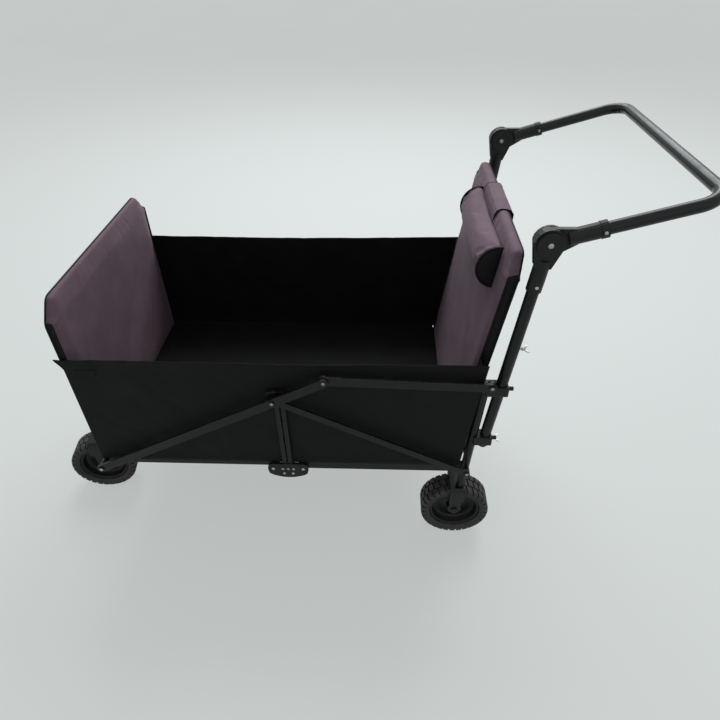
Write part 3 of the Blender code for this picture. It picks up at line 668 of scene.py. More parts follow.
# Knuckles: nylon hinge blocks that let the bow fold down. Each is a round drum of two cheeks and a
# tongue, with a capped pin, and holds both tubes in sockets with a rivet through each.
disc_radius = 0.0245
disc_turned = (
    (disc_radius, -0.0012),
    (disc_radius, 0.0002),
    (disc_radius - 0.0008, 0.0009),
    (disc_radius - 0.0045, 0.0009),
    (disc_radius - 0.0055, 0.0001),
    (0.0075, 0.0001),
    (0.007, 0.0006),
    (0, 0.0006),
)
knuckle_pin_radius = 0.0052
knuckle_pin_proud = 0.0007
socket_pin_drop = 0.09
socket_half_width = 0.0153
arm_pin_reach = 0.096
arm_half_width = 0.0166
half_drum = outer_face("knuckle_cheeks_left") - bow_y
for side, sign in sides:
    for node in ("knuckle_cheeks_", "knuckle_arm_", "lower_collar_"):
        finish(node + side, moulded_nylon)
    tube_y = bow_y * sign
    tube_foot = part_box("handle_tube_" + side)[0]
    down = Vector((tube_foot.x + tube_radius - handle_pin.x, 0, tube_foot.z - handle_pin.z))
    low_pin = handle_pin + down.normalized() * socket_pin_drop
    arm_pin = handle_pin + arm_way * arm_pin_reach
    discs, pins, arm_pins = bmesh.new(), bmesh.new(), bmesh.new()
    for facing in (-1, 1):
        centre = (handle_pin.x, tube_y + facing * half_drum, handle_pin.z)
        turned(discs, disc_turned, centre, (0, facing, 0), 64)
        for form, pin, reach, radius in (
            (pins, handle_pin, half_drum + knuckle_pin_proud, knuckle_pin_radius),
            (pins, low_pin, socket_half_width, screw_radius),
            (arm_pins, arm_pin, arm_half_width, screw_radius),
        ):
            rivet(form, pin.x, (tube_y + facing * reach) * facing, pin.z, facing, radius)
    dressed(kept(discs, "knuckle_discs_" + side), moulded_nylon, "rear_frame")
    dressed(kept(pins, "knuckle_rivets_" + side), bright_zinc, "rear_frame")
    dressed(kept(arm_pins, "arm_rivets_" + side), bright_zinc, "push_handle")

# Wing screws: small plated screws that clamp the handle tubes at their height, one in each lower
# collar and one higher up the tube.
wing_length = 0.0082
wing_thickness = 0.0022
wing_root = 0.0052
wing_foot = 0.0105
wing_half_height = 0.0038
wing_lift = 0.004
stud_turned = (
    (0.0028, -0.004),
    (0.0028, 0.004),
    (0.0046, 0.0045),
    (0.0046, 0.0105),
    (0.003, 0.012),
    (0, 0.0122),
)


def wing_screw(form, place, aim):
    """A plated stud with a two-winged head."""
    place, aim = Vector(place), Vector(aim).normalized()
    turned(form, stud_turned, place, aim, 20)
    for facing in (-1, 1):
        out = Vector((0, facing, 0))
        outline = []
        for turn in range(0, 360, 30):
            angle = math.radians(turn)
            reach = wing_root + wing_length * 0.42 * (1 + math.cos(angle))
            lift = wing_half_height * math.sin(angle) + wing_lift * (reach / wing_length)
            outline.append(place + out * reach + aim * (wing_foot + lift))
        thick = aim.cross(out) * wing_thickness / 2
        near = [form.verts.new(spot - thick) for spot in outline]
        far = [form.verts.new(spot + thick) for spot in outline]
        bridged(form, near, far)
        form.faces.new(near)
        form.faces.new(far[::-1])


high_screw_height = 0.64
collar_screw_inset = 0.012
for side, sign in sides:
    form = bmesh.new()
    screw_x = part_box("lower_collar_" + side)[1].x - collar_screw_inset
    screw_z = middle_of("lower_collar_" + side, 2)
    wing_screw(form, (screw_x, sign * bow_y, screw_z), (1, 0, 0))
    tube_low, tube_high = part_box("handle_tube_" + side)
    share = (high_screw_height - tube_low.z) / (tube_high.z - tube_low.z)
    tube_x = tube_low.x + tube_radius + (tube_high.x - tube_low.x - 2 * tube_radius) * share
    wing_screw(form, (tube_x + tube_radius, sign * bow_y, high_screw_height), (1, 0, 0))
    dressed(kept(form, "wing_screws_" + side), bright_zinc, "rear_frame")

# Tub walls: one piece of black woven polyester on each side, hemmed along the rim and the bottom.
# It is stretched from the front panel to the rear posts and hangs a little slack between them.
canvas_black = (0.0062, 0.0062, 0.0068, 1)
canvas_dust = (0.014, 0.0135, 0.014, 1)
canvas_thread = 0.0011
cloth_shine = 0.15
crease_size = 0.03
cloth_thickness = 0.0012
hem_thickness = 0.0021
hem_height = 0.012
hem_below = 0.0126
wall_columns = 120
wall_rows = 44
hem_rows = 6
rim_sag = 0.004
wall_slack = 0.0035
stitch_pitch = 0.0042
stitch_length = 0.0029
stitch_radius = 0.00035
wall_low, wall_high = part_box("side_wall_left")
wall_middle = (wall_high.y + wall_low.y) / -2
wall_lean = 0.0356
wall_wave = 0.0012
fold_depth = 0.0016
held_ends = 0.07
held_foot = 0.14


def weave_group():
    """Plain weave: threads over and under each other on the three planes of the cloth."""
    outputs = [("Height", "Float"), ("Patches", "Float")]
    made, given, out = group_of("plain_weave", [("Thread", canvas_thread)], outputs)
    place = step(made, "TexCoord").outputs
    pitch = step(made, "Math", {0: math.pi, 1: given.outputs["Thread"]}, operation="DIVIDE")
    sizes = {0: place["Object"], "Scale": pitch.outputs[0]}
    scaled = step(made, "VectorMath", sizes, operation="SCALE")
    wave = step(made, "VectorMath", {0: scaled.outputs[0]}, operation="SINE")
    waves = step(made, "SeparateXYZ", {0: wave.outputs[0]}).outputs
    facing = step(made, "VectorMath", {0: place["Normal"]}, operation="ABSOLUTE")
    weights = step(made, "SeparateXYZ", {0: facing.outputs[0]}).outputs
    planes = []
    for across, first, second in (("X", "Y", "Z"), ("Y", "X", "Z"), ("Z", "X", "Y")):
        cross = product(made, waves[first], waves[second])
        planes.append(product(made, cross, weights[across]))
    two = step(made, "Math", {0: planes[0], 1: planes[1]}, operation="ADD").outputs[0]
    three = step(made, "Math", {0: two, 1: planes[2]}, operation="ADD").outputs[0]
    made.links.new(three, out.inputs["Height"])
    made.links.new(clouds(made, place["Object"], 14.0, 5.0), out.inputs["Patches"])
    return made


def creases_group():
    """Soft creases that cloth keeps from being folded: a height with long low ridges."""
    made, given, out = group_of("soft_creases", [("Size", crease_size)], [("Height", "Float")])
    place = step(made, "TexCoord").outputs["Object"]
    sizes = {0: place, "Scale": inverse(made, given.outputs["Size"])}
    scaled = step(made, "VectorMath", sizes, operation="SCALE").outputs[0]
    drawn = {0: scaled, 1: (0.35, 0.5, 1.0)}
    stretched = step(made, "VectorMath", drawn, operation="MULTIPLY").outputs[0]
    pattern = {"Vector": stretched, "Scale": 1.0, "Detail": 3.0, "Distortion": 0.8}
    made.links.new(step(made, "TexNoise", pattern).outputs["Fac"], out.inputs["Height"])
    return made


plain_weave = weave_group()
soft_creases = creases_group()


def woven(name, colour, worn_colour, thread, gloss, crease_depth, sheen=0.0):
    """Woven cloth: its threads, with painted shade in the dips between them, its creases, and a
    faded tone where it is worn.
    """
    made, tree, shader = blank(name)
    threads = placed(tree, plain_weave, thread=thread).outputs
    creases = placed(tree, soft_creases, size=crease_size).outputs["Height"]
    dirt = placed(tree, dusting, amount=0.3, patch_size=0.06).outputs["Mask"]
    fade = ranged(tree, threads["Patches"], 0.4, 0.75, 0.0, 0.5)
    # Painted shade: the colour darkens towards black in the dips between the threads.
    dark = ranged(tree, threads["Height"], -1.0, 1.0, 0.25, 0.0)
    shaded = toned(tree, dark, toned(tree, fade, colour, worn_colour), (0, 0, 0, 1))
    dusty = toned(tree, dirt, shaded, worn_colour)
    rough = uneven(tree, threads["Patches"], gloss - 0.05, gloss + 0.08)
    relief = {"Height": creases, "Distance": crease_depth, "Strength": 0.6}
    folds = step(tree, "Bump", relief).outputs[0]
    skin(tree, shader, dusty, rough, threads["Height"], 0.0002, 0.5, folds)
    shader.inputs["Specular IOR Level"].default_value = cloth_shine
    shader.inputs["Sheen Weight"].default_value = sheen
    shader.inputs["Sheen Roughness"].default_value = 0.5
    return made


def waver(x, y, z):
    """Smooth noise from -1 to 1 at a place in its own space."""
    return noise.noise(Vector((x, y, z)))


def wall_place(side, share, rise, outward=0.0):
    """A point of a wall: share runs from front to rear and rise from the bottom to the rim."""
    rear_x = wall_high.x - wall_lean * (1 - rise)
    x = wall_low.x + (rear_x - wall_low.x) * share
    wave = waver(share * 9, side * 3.1, 0) * wall_wave
    sag = rim_sag * math.sin(math.pi * share) ** 2 + wave * math.sin(math.pi * share)
    z = wall_low.z + (wall_high.z - wall_low.z) * rise - max(0, sag) * max(0, rise) ** 3
    held = min(1, share / held_ends, (1 - share) / held_ends)
    held *= max(0, min(1, rise / held_foot))
    broad = 0.5 + 0.5 * waver(share * 4.5, rise * 1.6, side)
    diagonal = waver(share * 14 + rise * 3, rise * 2.2 - share * 3, side * 7)
    fold = (1 - abs(diagonal)) ** 5
    slack = held * (wall_slack * broad + fold_depth * fold)
    return Vector((x, side * (wall_middle + outward - slack), z))


def cloth_strip(form, place, columns, rows, thickness):
    """A closed piece of cloth: two layers and the edges between them, on a grid of places."""
    layers = []
    for offset in (thickness / 2, -thickness / 2):
        layer = []
        for n in range(columns + 1):
            line = [place(n / columns, m / rows, offset) for m in range(rows + 1)]
            layer.append([form.verts.new(spot) for spot in line])
        layers.append(layer)
    outer, inner = layers
    for n in range(columns):
        for m in range(rows):
            form.faces.new((outer[n][m], outer[n + 1][m], outer[n + 1][m + 1], outer[n][m + 1]))
            form.faces.new((inner[n][m], inner[n][m + 1], inner[n + 1][m + 1], inner[n + 1][m]))
        for m in (0, rows):
            form.faces.new((outer[n][m], inner[n][m], inner[n + 1][m], outer[n + 1][m]))
    for m in range(rows):
        for n in (0, columns):
            form.faces.new((outer[n][m], outer[n][m + 1], inner[n][m + 1], inner[n][m]))


def cut_cloth(name, place, columns, rows, thickness, crease=50):
    """A piece of cloth by itself, with no finish yet."""
    form = bmesh.new()
    cloth_strip(form, place, columns, rows, thickness)
    return kept(form, name, crease)


def sewn_in(obj, look=None):
    """A piece of the tub that rides with the rear frame, in the black canvas or another cloth."""
    return dressed(obj, look or black_canvas, "rear_frame")


def stitch(form, start, end, outward):
    """One stitch: a short thread that dives into the cloth at both ends."""
    middle = (start + end) / 2
    across = (end - start).normalized().cross(outward) * stitch_radius
    proud = outward * stitch_radius
    ring = [form.verts.new(middle + way) for way in (across, proud, -across, -proud)]
    tips = [form.verts.new(start), form.verts.new(end)]
    for n in range(4):
        form.faces.new((ring[n - 1], ring[n], tips[0]))
        form.faces.new((ring[n], ring[n - 1], tips[1]))


def flattened(obj):
    """Cloth between the two ends of the tub: gives the piece a mesh of its own."""
    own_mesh(obj)
    return obj


black_canvas = woven("black_canvas", canvas_black, canvas_dust, canvas_thread, 0.6, 0.0008)
thread_black = moulded("polyester_thread", (0.02, 0.02, 0.021, 1), 0.5)
hem_rise = hem_height / (wall_high.z - wall_low.z)
wall_length = wall_high.x - wall_low.x
hem_parts = (("rim_hem_", 1 - hem_rise, 1), ("bottom_hem_", -hem_below, hem_rise))
stitch_rises = (1 - hem_rise * 0.8, 1 - hem_rise * 0.15, hem_rise * 0.8)
for side, sign in sides:

    def hem_place(share, rise, offset):
        """A point of a hem, which thins towards both its edges."""
        thinned = offset * (1 - 0.75 * abs(2 * rise - 1) ** 6)
        return wall_place(sign, share, low_rise + (high_rise - low_rise) * rise, thinned)

    wall_cloth = functools.partial(wall_place, sign)
    wall = cut_cloth("tub_wall_" + side, wall_cloth, wall_columns, wall_rows, cloth_thickness)
    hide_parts("side_wall_" + side)
    trims = []
    for name, low_rise, high_rise in hem_parts:
        hem = cut_cloth(name + side, hem_place, wall_columns, hem_rows, hem_thickness, 60)
        trims.append(sewn_in(hem))
    sewn_in(wall)
    form = bmesh.new()
    for rise in stitch_rises:
        for n in range(1, int(wall_length / stitch_pitch) - 1):
            starts = (n * stitch_pitch, n * stitch_pitch + stitch_length)
            ends = [wall_place(sign, at / wall_length, rise, hem_thickness / 2) for at in starts]
            stitch(form, *ends, Vector((0, sign, 0)))
    trims.append(sewn_in(kept(form, "hem_stitches_" + side, 20), thread_black))
    for piece in (wall, *trims):
        flattened(piece)

# Fastening patch: a short strip of hook tape sewn near the front of each wall, and the pointed
# end of the rim's binding that stands out at the front corner.
patch_length = 0.046
patch_height = 0.018
patch_front = 0.022
patch_drop = 0.045
patch_thickness = 0.0011
tab_length = 0.014
tab_height = 0.014
tab_lift = 0.004
tab_bow = 0.003
tape_black = (0.013, 0.013, 0.014, 1)
tape_thread = 0.0016
hook_tape = woven("hook_tape", tape_black, canvas_dust, tape_thread, 0.75, 0.0003)
for side, sign in sides:

    def patch_place(share, rise, offset):
        """A point of the tape, on the wall's outer face."""
        along = (patch_front + patch_length * share) / wall_length
        up = 1 - (patch_drop - patch_height * rise) / (wall_high.z - wall_low.z)
        return wall_place(sign, along, up, cloth_thickness / 2 + patch_thickness / 2 + offset)

    def tab_place(share, rise, offset):
        """A point of the tab: it narrows to its tip, in front of the rim."""
        corner = wall_place(sign, 0, 1)
        half = tab_height * (0.5 + 0.5 * share) * (share**0.5)
        x = corner.x - tab_length * (1 - share)
        z = corner.z + tab_lift * (1 - share) - 2 * half * (1 - rise)
        bow = tab_bow * (1 - share) ** 2
        return Vector((x, sign * (wall_middle + offset + bow), z))

    patch = cut_cloth("fastening_patch_" + side, patch_place, 12, 6, patch_thickness, 40)
    form = bmesh.new()
    cloth_strip(form, tab_place, 8, 4, cloth_thickness)
    bmesh.ops.remove_doubles(form, verts=form.verts, dist=0.00001)
    tab = kept(form, "binding_end_" + side, 40)
    flattened(sewn_in(patch, hook_tape))
    flattened(sewn_in(tab))

# Floor: a sheet of the same cloth, laid along the bottom of the tub and sewn to both walls. It
# rides on the rear frame with them.
floor_low, floor_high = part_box("tub_floor")
floor_margin = 0.0008
floor_tuck = 0.0028
floor_half = 0.2785
floor_ripple = 0.0009
floor_held = 0.05
floor_columns = 90
floor_rows = 60


def floor_place(share, rise, offset):
    """A point of the floor: share runs from front to rear, rise from left to right."""
    x = floor_low.x - floor_tuck + (floor_high.x - floor_low.x + floor_tuck - floor_margin) * share
    y = floor_half * (2 * rise - 1)
    held = min(1, min(share, 1 - share, rise, 1 - rise) / floor_held)
    ripple = waver(x * 9, y * 13, 4.2) * floor_ripple * held
    return Vector((x, y, (floor_low.z + floor_high.z) / 2 + ripple + offset))


doubled = 2 * cloth_thickness
tub_bottom = cut_cloth("tub_bottom_cloth", floor_place, floor_columns, floor_rows, doubled)
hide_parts("tub_floor")
sewn_in(tub_bottom)
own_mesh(tub_bottom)

# Floor edges: along both walls a strip of the floor's cloth lies on the bottom bars. The rear one
# rides on the rear half bars; the front one rides on none.
sleeve_inner = 0.2795
sleeve_outer = 0.3003
sleeve_z = 0.2808
sleeve_rear_end = 0.3175
sleeve_front_inset = 0.002
sleeve_middle = middle_of("centre_hub_left", 0)
sleeve_parts = (
    ("front", wall_low.x + sleeve_front_inset, sleeve_middle),
    ("rear", sleeve_middle, sleeve_rear_end),
)
for side, sign in sides:
    for end, first_x, last_x in sleeve_parts:

        def sleeve_place(share, rise, offset):
            """A point of the edge cloth: share runs to the rear and rise outwards."""
            x = first_x + (last_x - first_x) * share
            y = sleeve_inner + (sleeve_outer - sleeve_inner) * rise
            return Vector((x, sign * y, sleeve_z + offset * (1 - 0.4 * abs(2 * rise - 1) ** 4)))

        edge = cut_cloth(end + "_floor_edge_" + side, sleeve_place, 60, 5, cloth_thickness)
        edge.data.materials.append(black_canvas)
        if end == "rear":
            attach(edge, "rear_half_bars")
        else:
            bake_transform(edge)
        if end == "rear":
            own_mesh(edge)

# Rear corners: a narrow strip of the same cloth closes the gap between each wall and the rear
# panel, inside the posts. It is sewn to both.
corner_ahead = 0.0012
corner_bow = 0.004
corner_drop = 0.004
corner_lap = 0.005
corner_set = 0.0009
corner_top = wall_high.z - corner_drop
corner_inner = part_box("rear_panel")[1].y - corner_lap
corner_outer = wall_middle - corner_set
rear_lean = math.radians(8.5)
for side, sign in sides:

    def corner_place(share, rise, offset):
        """A point of the strip: share runs outwards and rise from the floor to the rim."""
        z = sleeve_z + (corner_top - sleeve_z) * rise
        bow = corner_bow * math.sin(math.pi * share) * math.sin(math.pi * rise)
        face = floor_high.x + (z - floor_low.z) * math.tan(rear_lean)
        y = corner_inner + (corner_outer - corner_inner) * share
        return Vector((face - corner_ahead - bow + offset, sign * y, z))

    strip = sewn_in(cut_cloth("corner_cloth_" + side, corner_place, 6, 40, cloth_thickness))
    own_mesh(strip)

# End panels: the tub's front and rear are quilted panels of dusty plum polyester over foam, with
# a black canvas back and gusset. A black piping runs round the edge, between the two cloths.
plum = (0.182, 0.106, 0.141, 1)
plum_faded = (0.275, 0.188, 0.23, 1)
plum_thread = 0.0009
piping_thread = 0.0008
panel_voxel = 0.007
panel_share = 0.72
panel_swell = 0.0055
piping_radius = 0.0023
seam_share = 0.66
seam_inset = 0.0018
gusset_edge = 0.005
gather_reach = 0.06
swelling_frames = 20
swelling_pressure = 4
seam_piece = 0.008
seam_corner = 0.014
seam_start = 0.004
seam_side_inset = 0.0028
edge_pull = 0.0012
held_reach = 0.007
crease_free = 0.006
crease_spread = 0.05
crease_slant = math.radians(52)
crease_height = 0.0034
crease_middle = 0.4
crease_least = 0.25
crumple_height = 0.009
front_crumple = 0.35
back_relief = -0.5
side_seam_start = 0.008
rear_panel_drop = 0.008
plum_canvas = woven("plum_canvas", plum, plum_faded, plum_thread, 0.62, 0.0006, 0.12)
piping_cloth = woven("piping_cloth", canvas_black, canvas_dust, piping_thread, 0.5, 0.0003)


def edge_reach(form_sizes, y, rise):
    """How far inside the panel's outline a point lies."""
    half, top, inset, drop = form_sizes
    slope = Vector((drop, inset)).normalized()
    corner = (half - abs(y)) * slope.x + (top - drop - rise) * slope.y
    return min(half - abs(y), rise, top - rise, corner)


def settled(obj):
    """The piece's mesh with its modifiers worked in."""
    graph = bpy.context.evaluated_depsgraph_get()
    mesh = bpy.data.meshes.new_from_object(obj.evaluated_get(graph))
    obj.modifiers.clear()
    obj.data = mesh
    return obj


def puffed(node, name, voxel, swell, spare, narrowed, held):
    """Foam and cloth: the solid narrowed, remeshed, and swollen as cloth between its seams."""
    form = bmesh.new()
    form.from_mesh(nodes[node].data)
    for vert in form.verts:
        vert.co = narrowed(vert.co, vert.normal)
    obj = kept(form, name)
    remesh = obj.modifiers.new("even_mesh", "REMESH")
    remesh.mode = "VOXEL"
    remesh.voxel_size = voxel
    settled(obj)
    start = [vert.co.copy() for vert in obj.data.vertices]
    seams = obj.vertex_groups.new(name="seams")
    for vert in obj.data.vertices:
        seams.add([vert.index], held(vert.co), "REPLACE")
    cloth = obj.modifiers.new("swelling", "CLOTH")
    cloth.settings.effector_weights.gravity = 0
    cloth.settings.use_pressure = True
    cloth.settings.uniform_pressure_force = swelling_pressure
    cloth.settings.shrink_min = -spare
    cloth.settings.vertex_group_mass = "seams"
    for number in range(1, swelling_frames + 1):
        bpy.context.scene.frame_set(number)
    settled(obj)
    obj.vertex_groups.clear()
    bpy.context.scene.frame_set(1)
    for vert, place in zip(obj.data.vertices, start):
        move = vert.co - place
        if move.length > swell:
            vert.co = place + move.normalized() * swell
    return obj


def smoothed(obj):
    """One round of subdivision, worked in."""
    obj.modifiers.new("finer", "SUBSURF").levels = 1
    settled(obj)
    obj.data.shade_smooth()
    return obj


def piping(name, route, body):
    """A cord sewn into the seam, covered in black cloth."""
    form = bmesh.new()
    fine = []
    for start, end in zip(route, route[1:]):
        pieces = max(1, round((end - start).length / seam_piece))
        fine += [start.lerp(end, m / pieces) for m in range(pieces)]
    tube(form, [*fine, route[-1]], lambda n, outward: piping_radius, 10)
    return dressed(kept(form, name, 60), piping_cloth, body)


def outline_route(form_sizes, place, inset, side_inset, depth):
    """The panel's edge from one foot over the top to the other, with its corners rounded."""
    half, top, corner_inset, drop = form_sizes
    half, top = half - inset, top - inset
    corners = [(-half, seam_start), (-half, top - drop), (corner_inset - half, top)]
    corners = [Vector(corner) for corner in corners]
    corners += [Vector((-y, rise)) for y, rise in corners[::-1]]
    route = [corners[0]]
    for before, corner, after in zip(corners, corners[1:], corners[2:]):
        start = corner + (before - corner).normalized() * seam_corner
        end = corner + (after - corner).normalized() * seam_corner
        for n in range(7):
            share = n / 6
            route.append(start.lerp(corner, share).lerp(corner.lerp(end, share), share))
    route.append(corners[-1])
    widest = half + inset - side_inset
    return [place(max(-widest, min(widest, y)), rise, depth) for y, rise in route]


def two_cloths(obj, outward, foot, thickness, form_sizes):
    """Plum canvas inside and black canvas on the back and the gusset."""
    obj.data.materials.append(plum_canvas)
    obj.data.materials.append(black_canvas)
    half, kink = form_sizes[0], form_sizes[1] - form_sizes[3]
    for face in obj.data.polygons:
        behind = (face.center - foot).dot(outward) > thickness * seam_share
        beside = half - abs(face.center.y) < gusset_edge and face.center.z - foot.z < kink
        face.material_index = 1 if behind or beside else 0


front_low, front_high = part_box("front_panel")
rear_low, rear_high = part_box("rear_panel")
front_sizes = (front_high.y, front_high.z - front_low.z, 0.038, 0.048)
front_foot = Vector((front_high.x, 0, front_low.z))
rear_foot = Vector((floor_high.x, 0, floor_low.z - rear_panel_drop))
rear_sizes = (rear_high.y, (rear_high.z - rear_foot.z) / math.cos(rear_lean), 0.026, 0.0485)
panels = (
    ("front_panel", front_sizes, front_foot, 0.0, -1, 0.022, 0.85, 0.003, "front_frame"),
    ("rear_panel", rear_sizes, rear_foot, rear_lean, 1, 0.027, 1.2, 0.01, "rear_frame"),
)
for node, panel_sizes, foot, lean, facing, thickness, full, spare, body in panels:
    up = Vector((math.sin(lean), 0, math.cos(lean)))
    outward = Vector((math.cos(lean), 0, -math.sin(lean))) * facing

    def panel_place(y, rise, depth):
        """A point of the panel from its place across, its height and its depth behind the face."""
        return foot + Vector((0, y, 0)) + up * rise + outward * depth

    def narrowed(place, normal):
        """The panel's faces drawn towards its middle, and its edges a little too."""
        depth = (place - foot).dot(outward)
        share = full if depth < thickness / 2 else panel_share
        inside = place - outward * (depth - thickness / 2) * (1 - share)
        return inside - Vector((0, normal.y, 0)) * edge_pull

    def held(place):
        """The gusset is held; the faces are free."""
        reach = edge_reach(panel_sizes, place.y, (place - foot).dot(up))
        return 1.0 if reach < held_reach else 0.0

    panel = puffed(node, node + "_cushion", panel_voxel, panel_swell, spare, narrowed, held)
    smoothed(panel)
    kink = panel_sizes[1] - panel_sizes[3]
    facings = [vert.normal.dot(outward) for vert in panel.data.vertices]
    for vert, facing_out in zip(panel.data.vertices, facings):
        y, rise = vert.co.y, (vert.co - foot).dot(up)
        along = y * math.cos(crease_slant) + rise * math.sin(crease_slant)
        across = rise * math.cos(crease_slant) - y * math.sin(crease_slant)
        free = max(0, min(1, (edge_reach(panel_sizes, y, rise) - crease_free) / crease_spread))
        ridge = (1 - abs(waver(along * 2.2, across * 7.5, facing * 5))) ** 5
        lower = max(crease_least, 1 - rise / panel_sizes[1])
        corner = math.hypot(panel_sizes[0] - abs(y), kink - rise)
        crumple = max(0, 1 - corner / gather_reach) ** 1.5 * (front_crumple if facing < 0 else 1)
        gather = crumple * waver(rise * 75 + abs(y) * 30, y * 14, facing * 2)
        move = free * lower * crease_height * (ridge - crease_middle) + crumple_height * gather
        vert.co -= outward * move * (1 if facing_out < 0 else back_relief)
    two_cloths(panel, outward, foot, thickness, panel_sizes)
    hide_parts(node)
    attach(panel, body)
    seam = thickness * seam_share
    route = outline_route(panel_sizes, panel_place, seam_inset, seam_side_inset, seam)
    piping(node + "_piping", route, body)
    for side, sign in sides:
        seam_y = sign * (panel_sizes[0] - gusset_edge)
        seam_depth = thickness / 2 * (1 - full) + edge_pull
        ends = [panel_place(seam_y, rise, seam_depth) for rise in (side_seam_start, kink)]
        side_y = sign * (panel_sizes[0] - seam_side_inset)
        ends.append(panel_place(side_y, kink + seam_start, seam))
        piping(node + "_side_piping_" + side, ends, body)

# Bolster: a D-shaped pillow of the same plum cloth, tied high on the rear panel. Both its ends
# are closed with a round of black canvas, with piping round the seam.
bolster_low, bolster_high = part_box("bolster")
bolster_voxel = 0.006
bolster_swell = 0.006
bolster_pull = 0.0016
bolster_slack = 0.0012
pucker_height = 0.002
pucker_reach = 0.03
bolster_drop = 0.008
bolster_near = 0.008
bolster_proud = 0.0075
bolster_spare = 0.01
bolster_held = 0.005
cap_reach = 0.044
cap_half_height = 0.046
cap_steps = 32
cap_inset = 0.002
cap_turned = ((1, -0.002), (0.97, 0.0), (0.8, 0.0022), (0.55, 0.0036), (0.28, 0.0043))
cap_proud = 0.0045
roll_up = Vector((math.sin(rear_lean), 0, math.cos(rear_lean)))
roll_out = Vector((math.cos(rear_lean), 0, -math.sin(rear_lean)))
bolster_level = middle_of("bolster", 2)
bolster_set = Vector((0, -bolster_near, 0)) - roll_up * bolster_drop - roll_out * bolster_proud
bolster_face = rear_foot + roll_up * ((bolster_level - rear_foot.z) / roll_up.z) + bolster_set
bolster_ends = [bolster_low.y - bolster_near, bolster_high.y - bolster_near]


def bolster_place(place, normal):
    """A point of the bolster, drawn in a little and set in its place on the panel."""
    return place - normal * bolster_pull + bolster_set


def bolster_hold(place):
    """The seams at both ends are held; the roll between them is free."""
    end = min(place.y - bolster_ends[0], bolster_ends[1] - place.y)
    return 1.0 if end < bolster_held else 0.0


sizes = (bolster_voxel, bolster_swell, bolster_spare)
bolster = puffed("bolster", "head_bolster", *sizes, bolster_place, bolster_hold)
smoothed(bolster)
bolster.data.materials.append(plum_canvas)
normals = [vert.normal.copy() for vert in bolster.data.vertices]
for vert, normal in zip(bolster.data.vertices, normals):
    end = min(vert.co.y - bolster_ends[0], bolster_ends[1] - vert.co.y)
    around = math.atan2(vert.co.z - bolster_level, bolster_face.x - vert.co.x)
    pucker = waver(around * 4.5, end * 12, 2) * math.exp(-end / pucker_reach)
    slack = waver(vert.co.y * 9, around * 1.5, 6) * bolster_slack
    vert.co += normal * (pucker_height * pucker + slack) * (1 if abs(normal.y) < 0.7 else 0)
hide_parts("bolster")
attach(bolster, "rear_frame")
for end, facing in (("near", -1), ("far", 1)):
    end_y = bolster_ends[0 if facing < 0 else 1] - facing * cap_inset
    cap_foot = bolster_face + Vector((0, end_y, 0))
    rim = []
    for n in range(cap_steps + 1):
        turn = math.pi * (n / cap_steps - 0.5)
        lift, reach = math.sin(turn) * cap_half_height, math.cos(turn) * cap_reach + cap_inset
        rim.append(cap_foot + roll_up * lift - roll_out * reach)
    piping("bolster_piping_" + end, rim, "rear_frame")
    middle = cap_foot - roll_out * cap_reach * 0.45
    form = bmesh.new()
    rings = []
    for share, rise in cap_turned:
        out = Vector((0, facing * rise, 0))
        rings.append([form.verts.new(middle.lerp(place, share) + out) for place in rim])
    for near, far in zip(rings, rings[1:]):
        bridged(form, near, far)
    tip = form.verts.new(middle + Vector((0, facing * cap_proud, 0)))
    for n in range(len(rim)):
        form.faces.new((rings[-1][n - 1], rings[-1][n], tip))
    form.faces.new(rings[0])
    dressed(kept(form, "bolster_cap_" + end, 60), black_canvas, "rear_frame")

# Hanging band: a wide band of plum cloth goes from the bolster over the top of the rear panel and
# down its back. Its two edges are bound in black.
band_near = -0.058
band_far = 0.095
band_binding = 0.0014
band_bow = 0.001
band_columns = 48
band_over = (
    (-0.0085, -0.038),
    (-0.0085, -0.012),
    (-0.005, -0.003),
    (0.003, 0.0015),
    (0.013, 0.0025),
    (0.024, 0.001),
    (0.0315, -0.007),
    (0.033, -0.02),
    (0.033, -0.07),
)
band_route = [(depth, rear_sizes[1] + lift) for depth, lift in band_over]


def band_place(share, rise, offset):
    """A point of the band: share runs along it from the bolster and rise across it."""
    at = share * (len(band_route) - 1)
    n = min(int(at), len(band_route) - 2)
    before, after = Vector(band_route[n]), Vector(band_route[n + 1])
    depth, height = before.lerp(after, at - n)
    across = (after - before).normalized()
    depth, height = depth - across.y * offset, height + across.x * offset
    bow = waver(share * 3, rise * 4, 8) * band_bow
    y = band_near + (band_far - band_near) * rise
    return rear_foot + Vector((0, y, 0)) + roll_up * (height + bow) + roll_out * depth


band = cut_cloth("bolster_band", band_place, band_columns, 24, cloth_thickness, 60)
dressed(band, plum_canvas, "rear_frame")
for end, rise in (("near", 0), ("far", 1)):
    form = bmesh.new()
    edge = [band_place(n / band_columns, rise, 0) for n in range(band_columns + 1)]
    tube(form, edge, lambda n, outward: band_binding, 8)
    bound = kept(form, "band_binding_" + end, 60)
    dressed(bound, piping_cloth, "rear_frame")
band_length = sum(math.dist(before, after) for before, after in zip(band_route, band_route[1:]))

# Studio: a pale floor and a backdrop of nearly the same tone, a broad soft lamp above the far side
# of the trolley, and a much weaker one on the near side.
floor_grey = (0.8, 0.81, 0.8, 1)
floor_rough = (0.5, 0.62)
floor_reach = 30.0
lamps_aim = Vector((0, 0, 0.4))
sky_light = (0.9, 0.93, 1.0, 1)
sky_level = 0.32
backdrop = (0.72, 0.76, 0.74, 1)
backdrop_share = 0.6
lamps = (
    ("far_lamp", (0.3, 2.5, 3.3), 3.6, 2.4, 120.0, (0.93, 0.97, 1.0)),
    ("near_lamp", (1.6, -3.4, 2.6), 2.6, 2.0, 2.5, (1.0, 0.98, 0.95)),
)


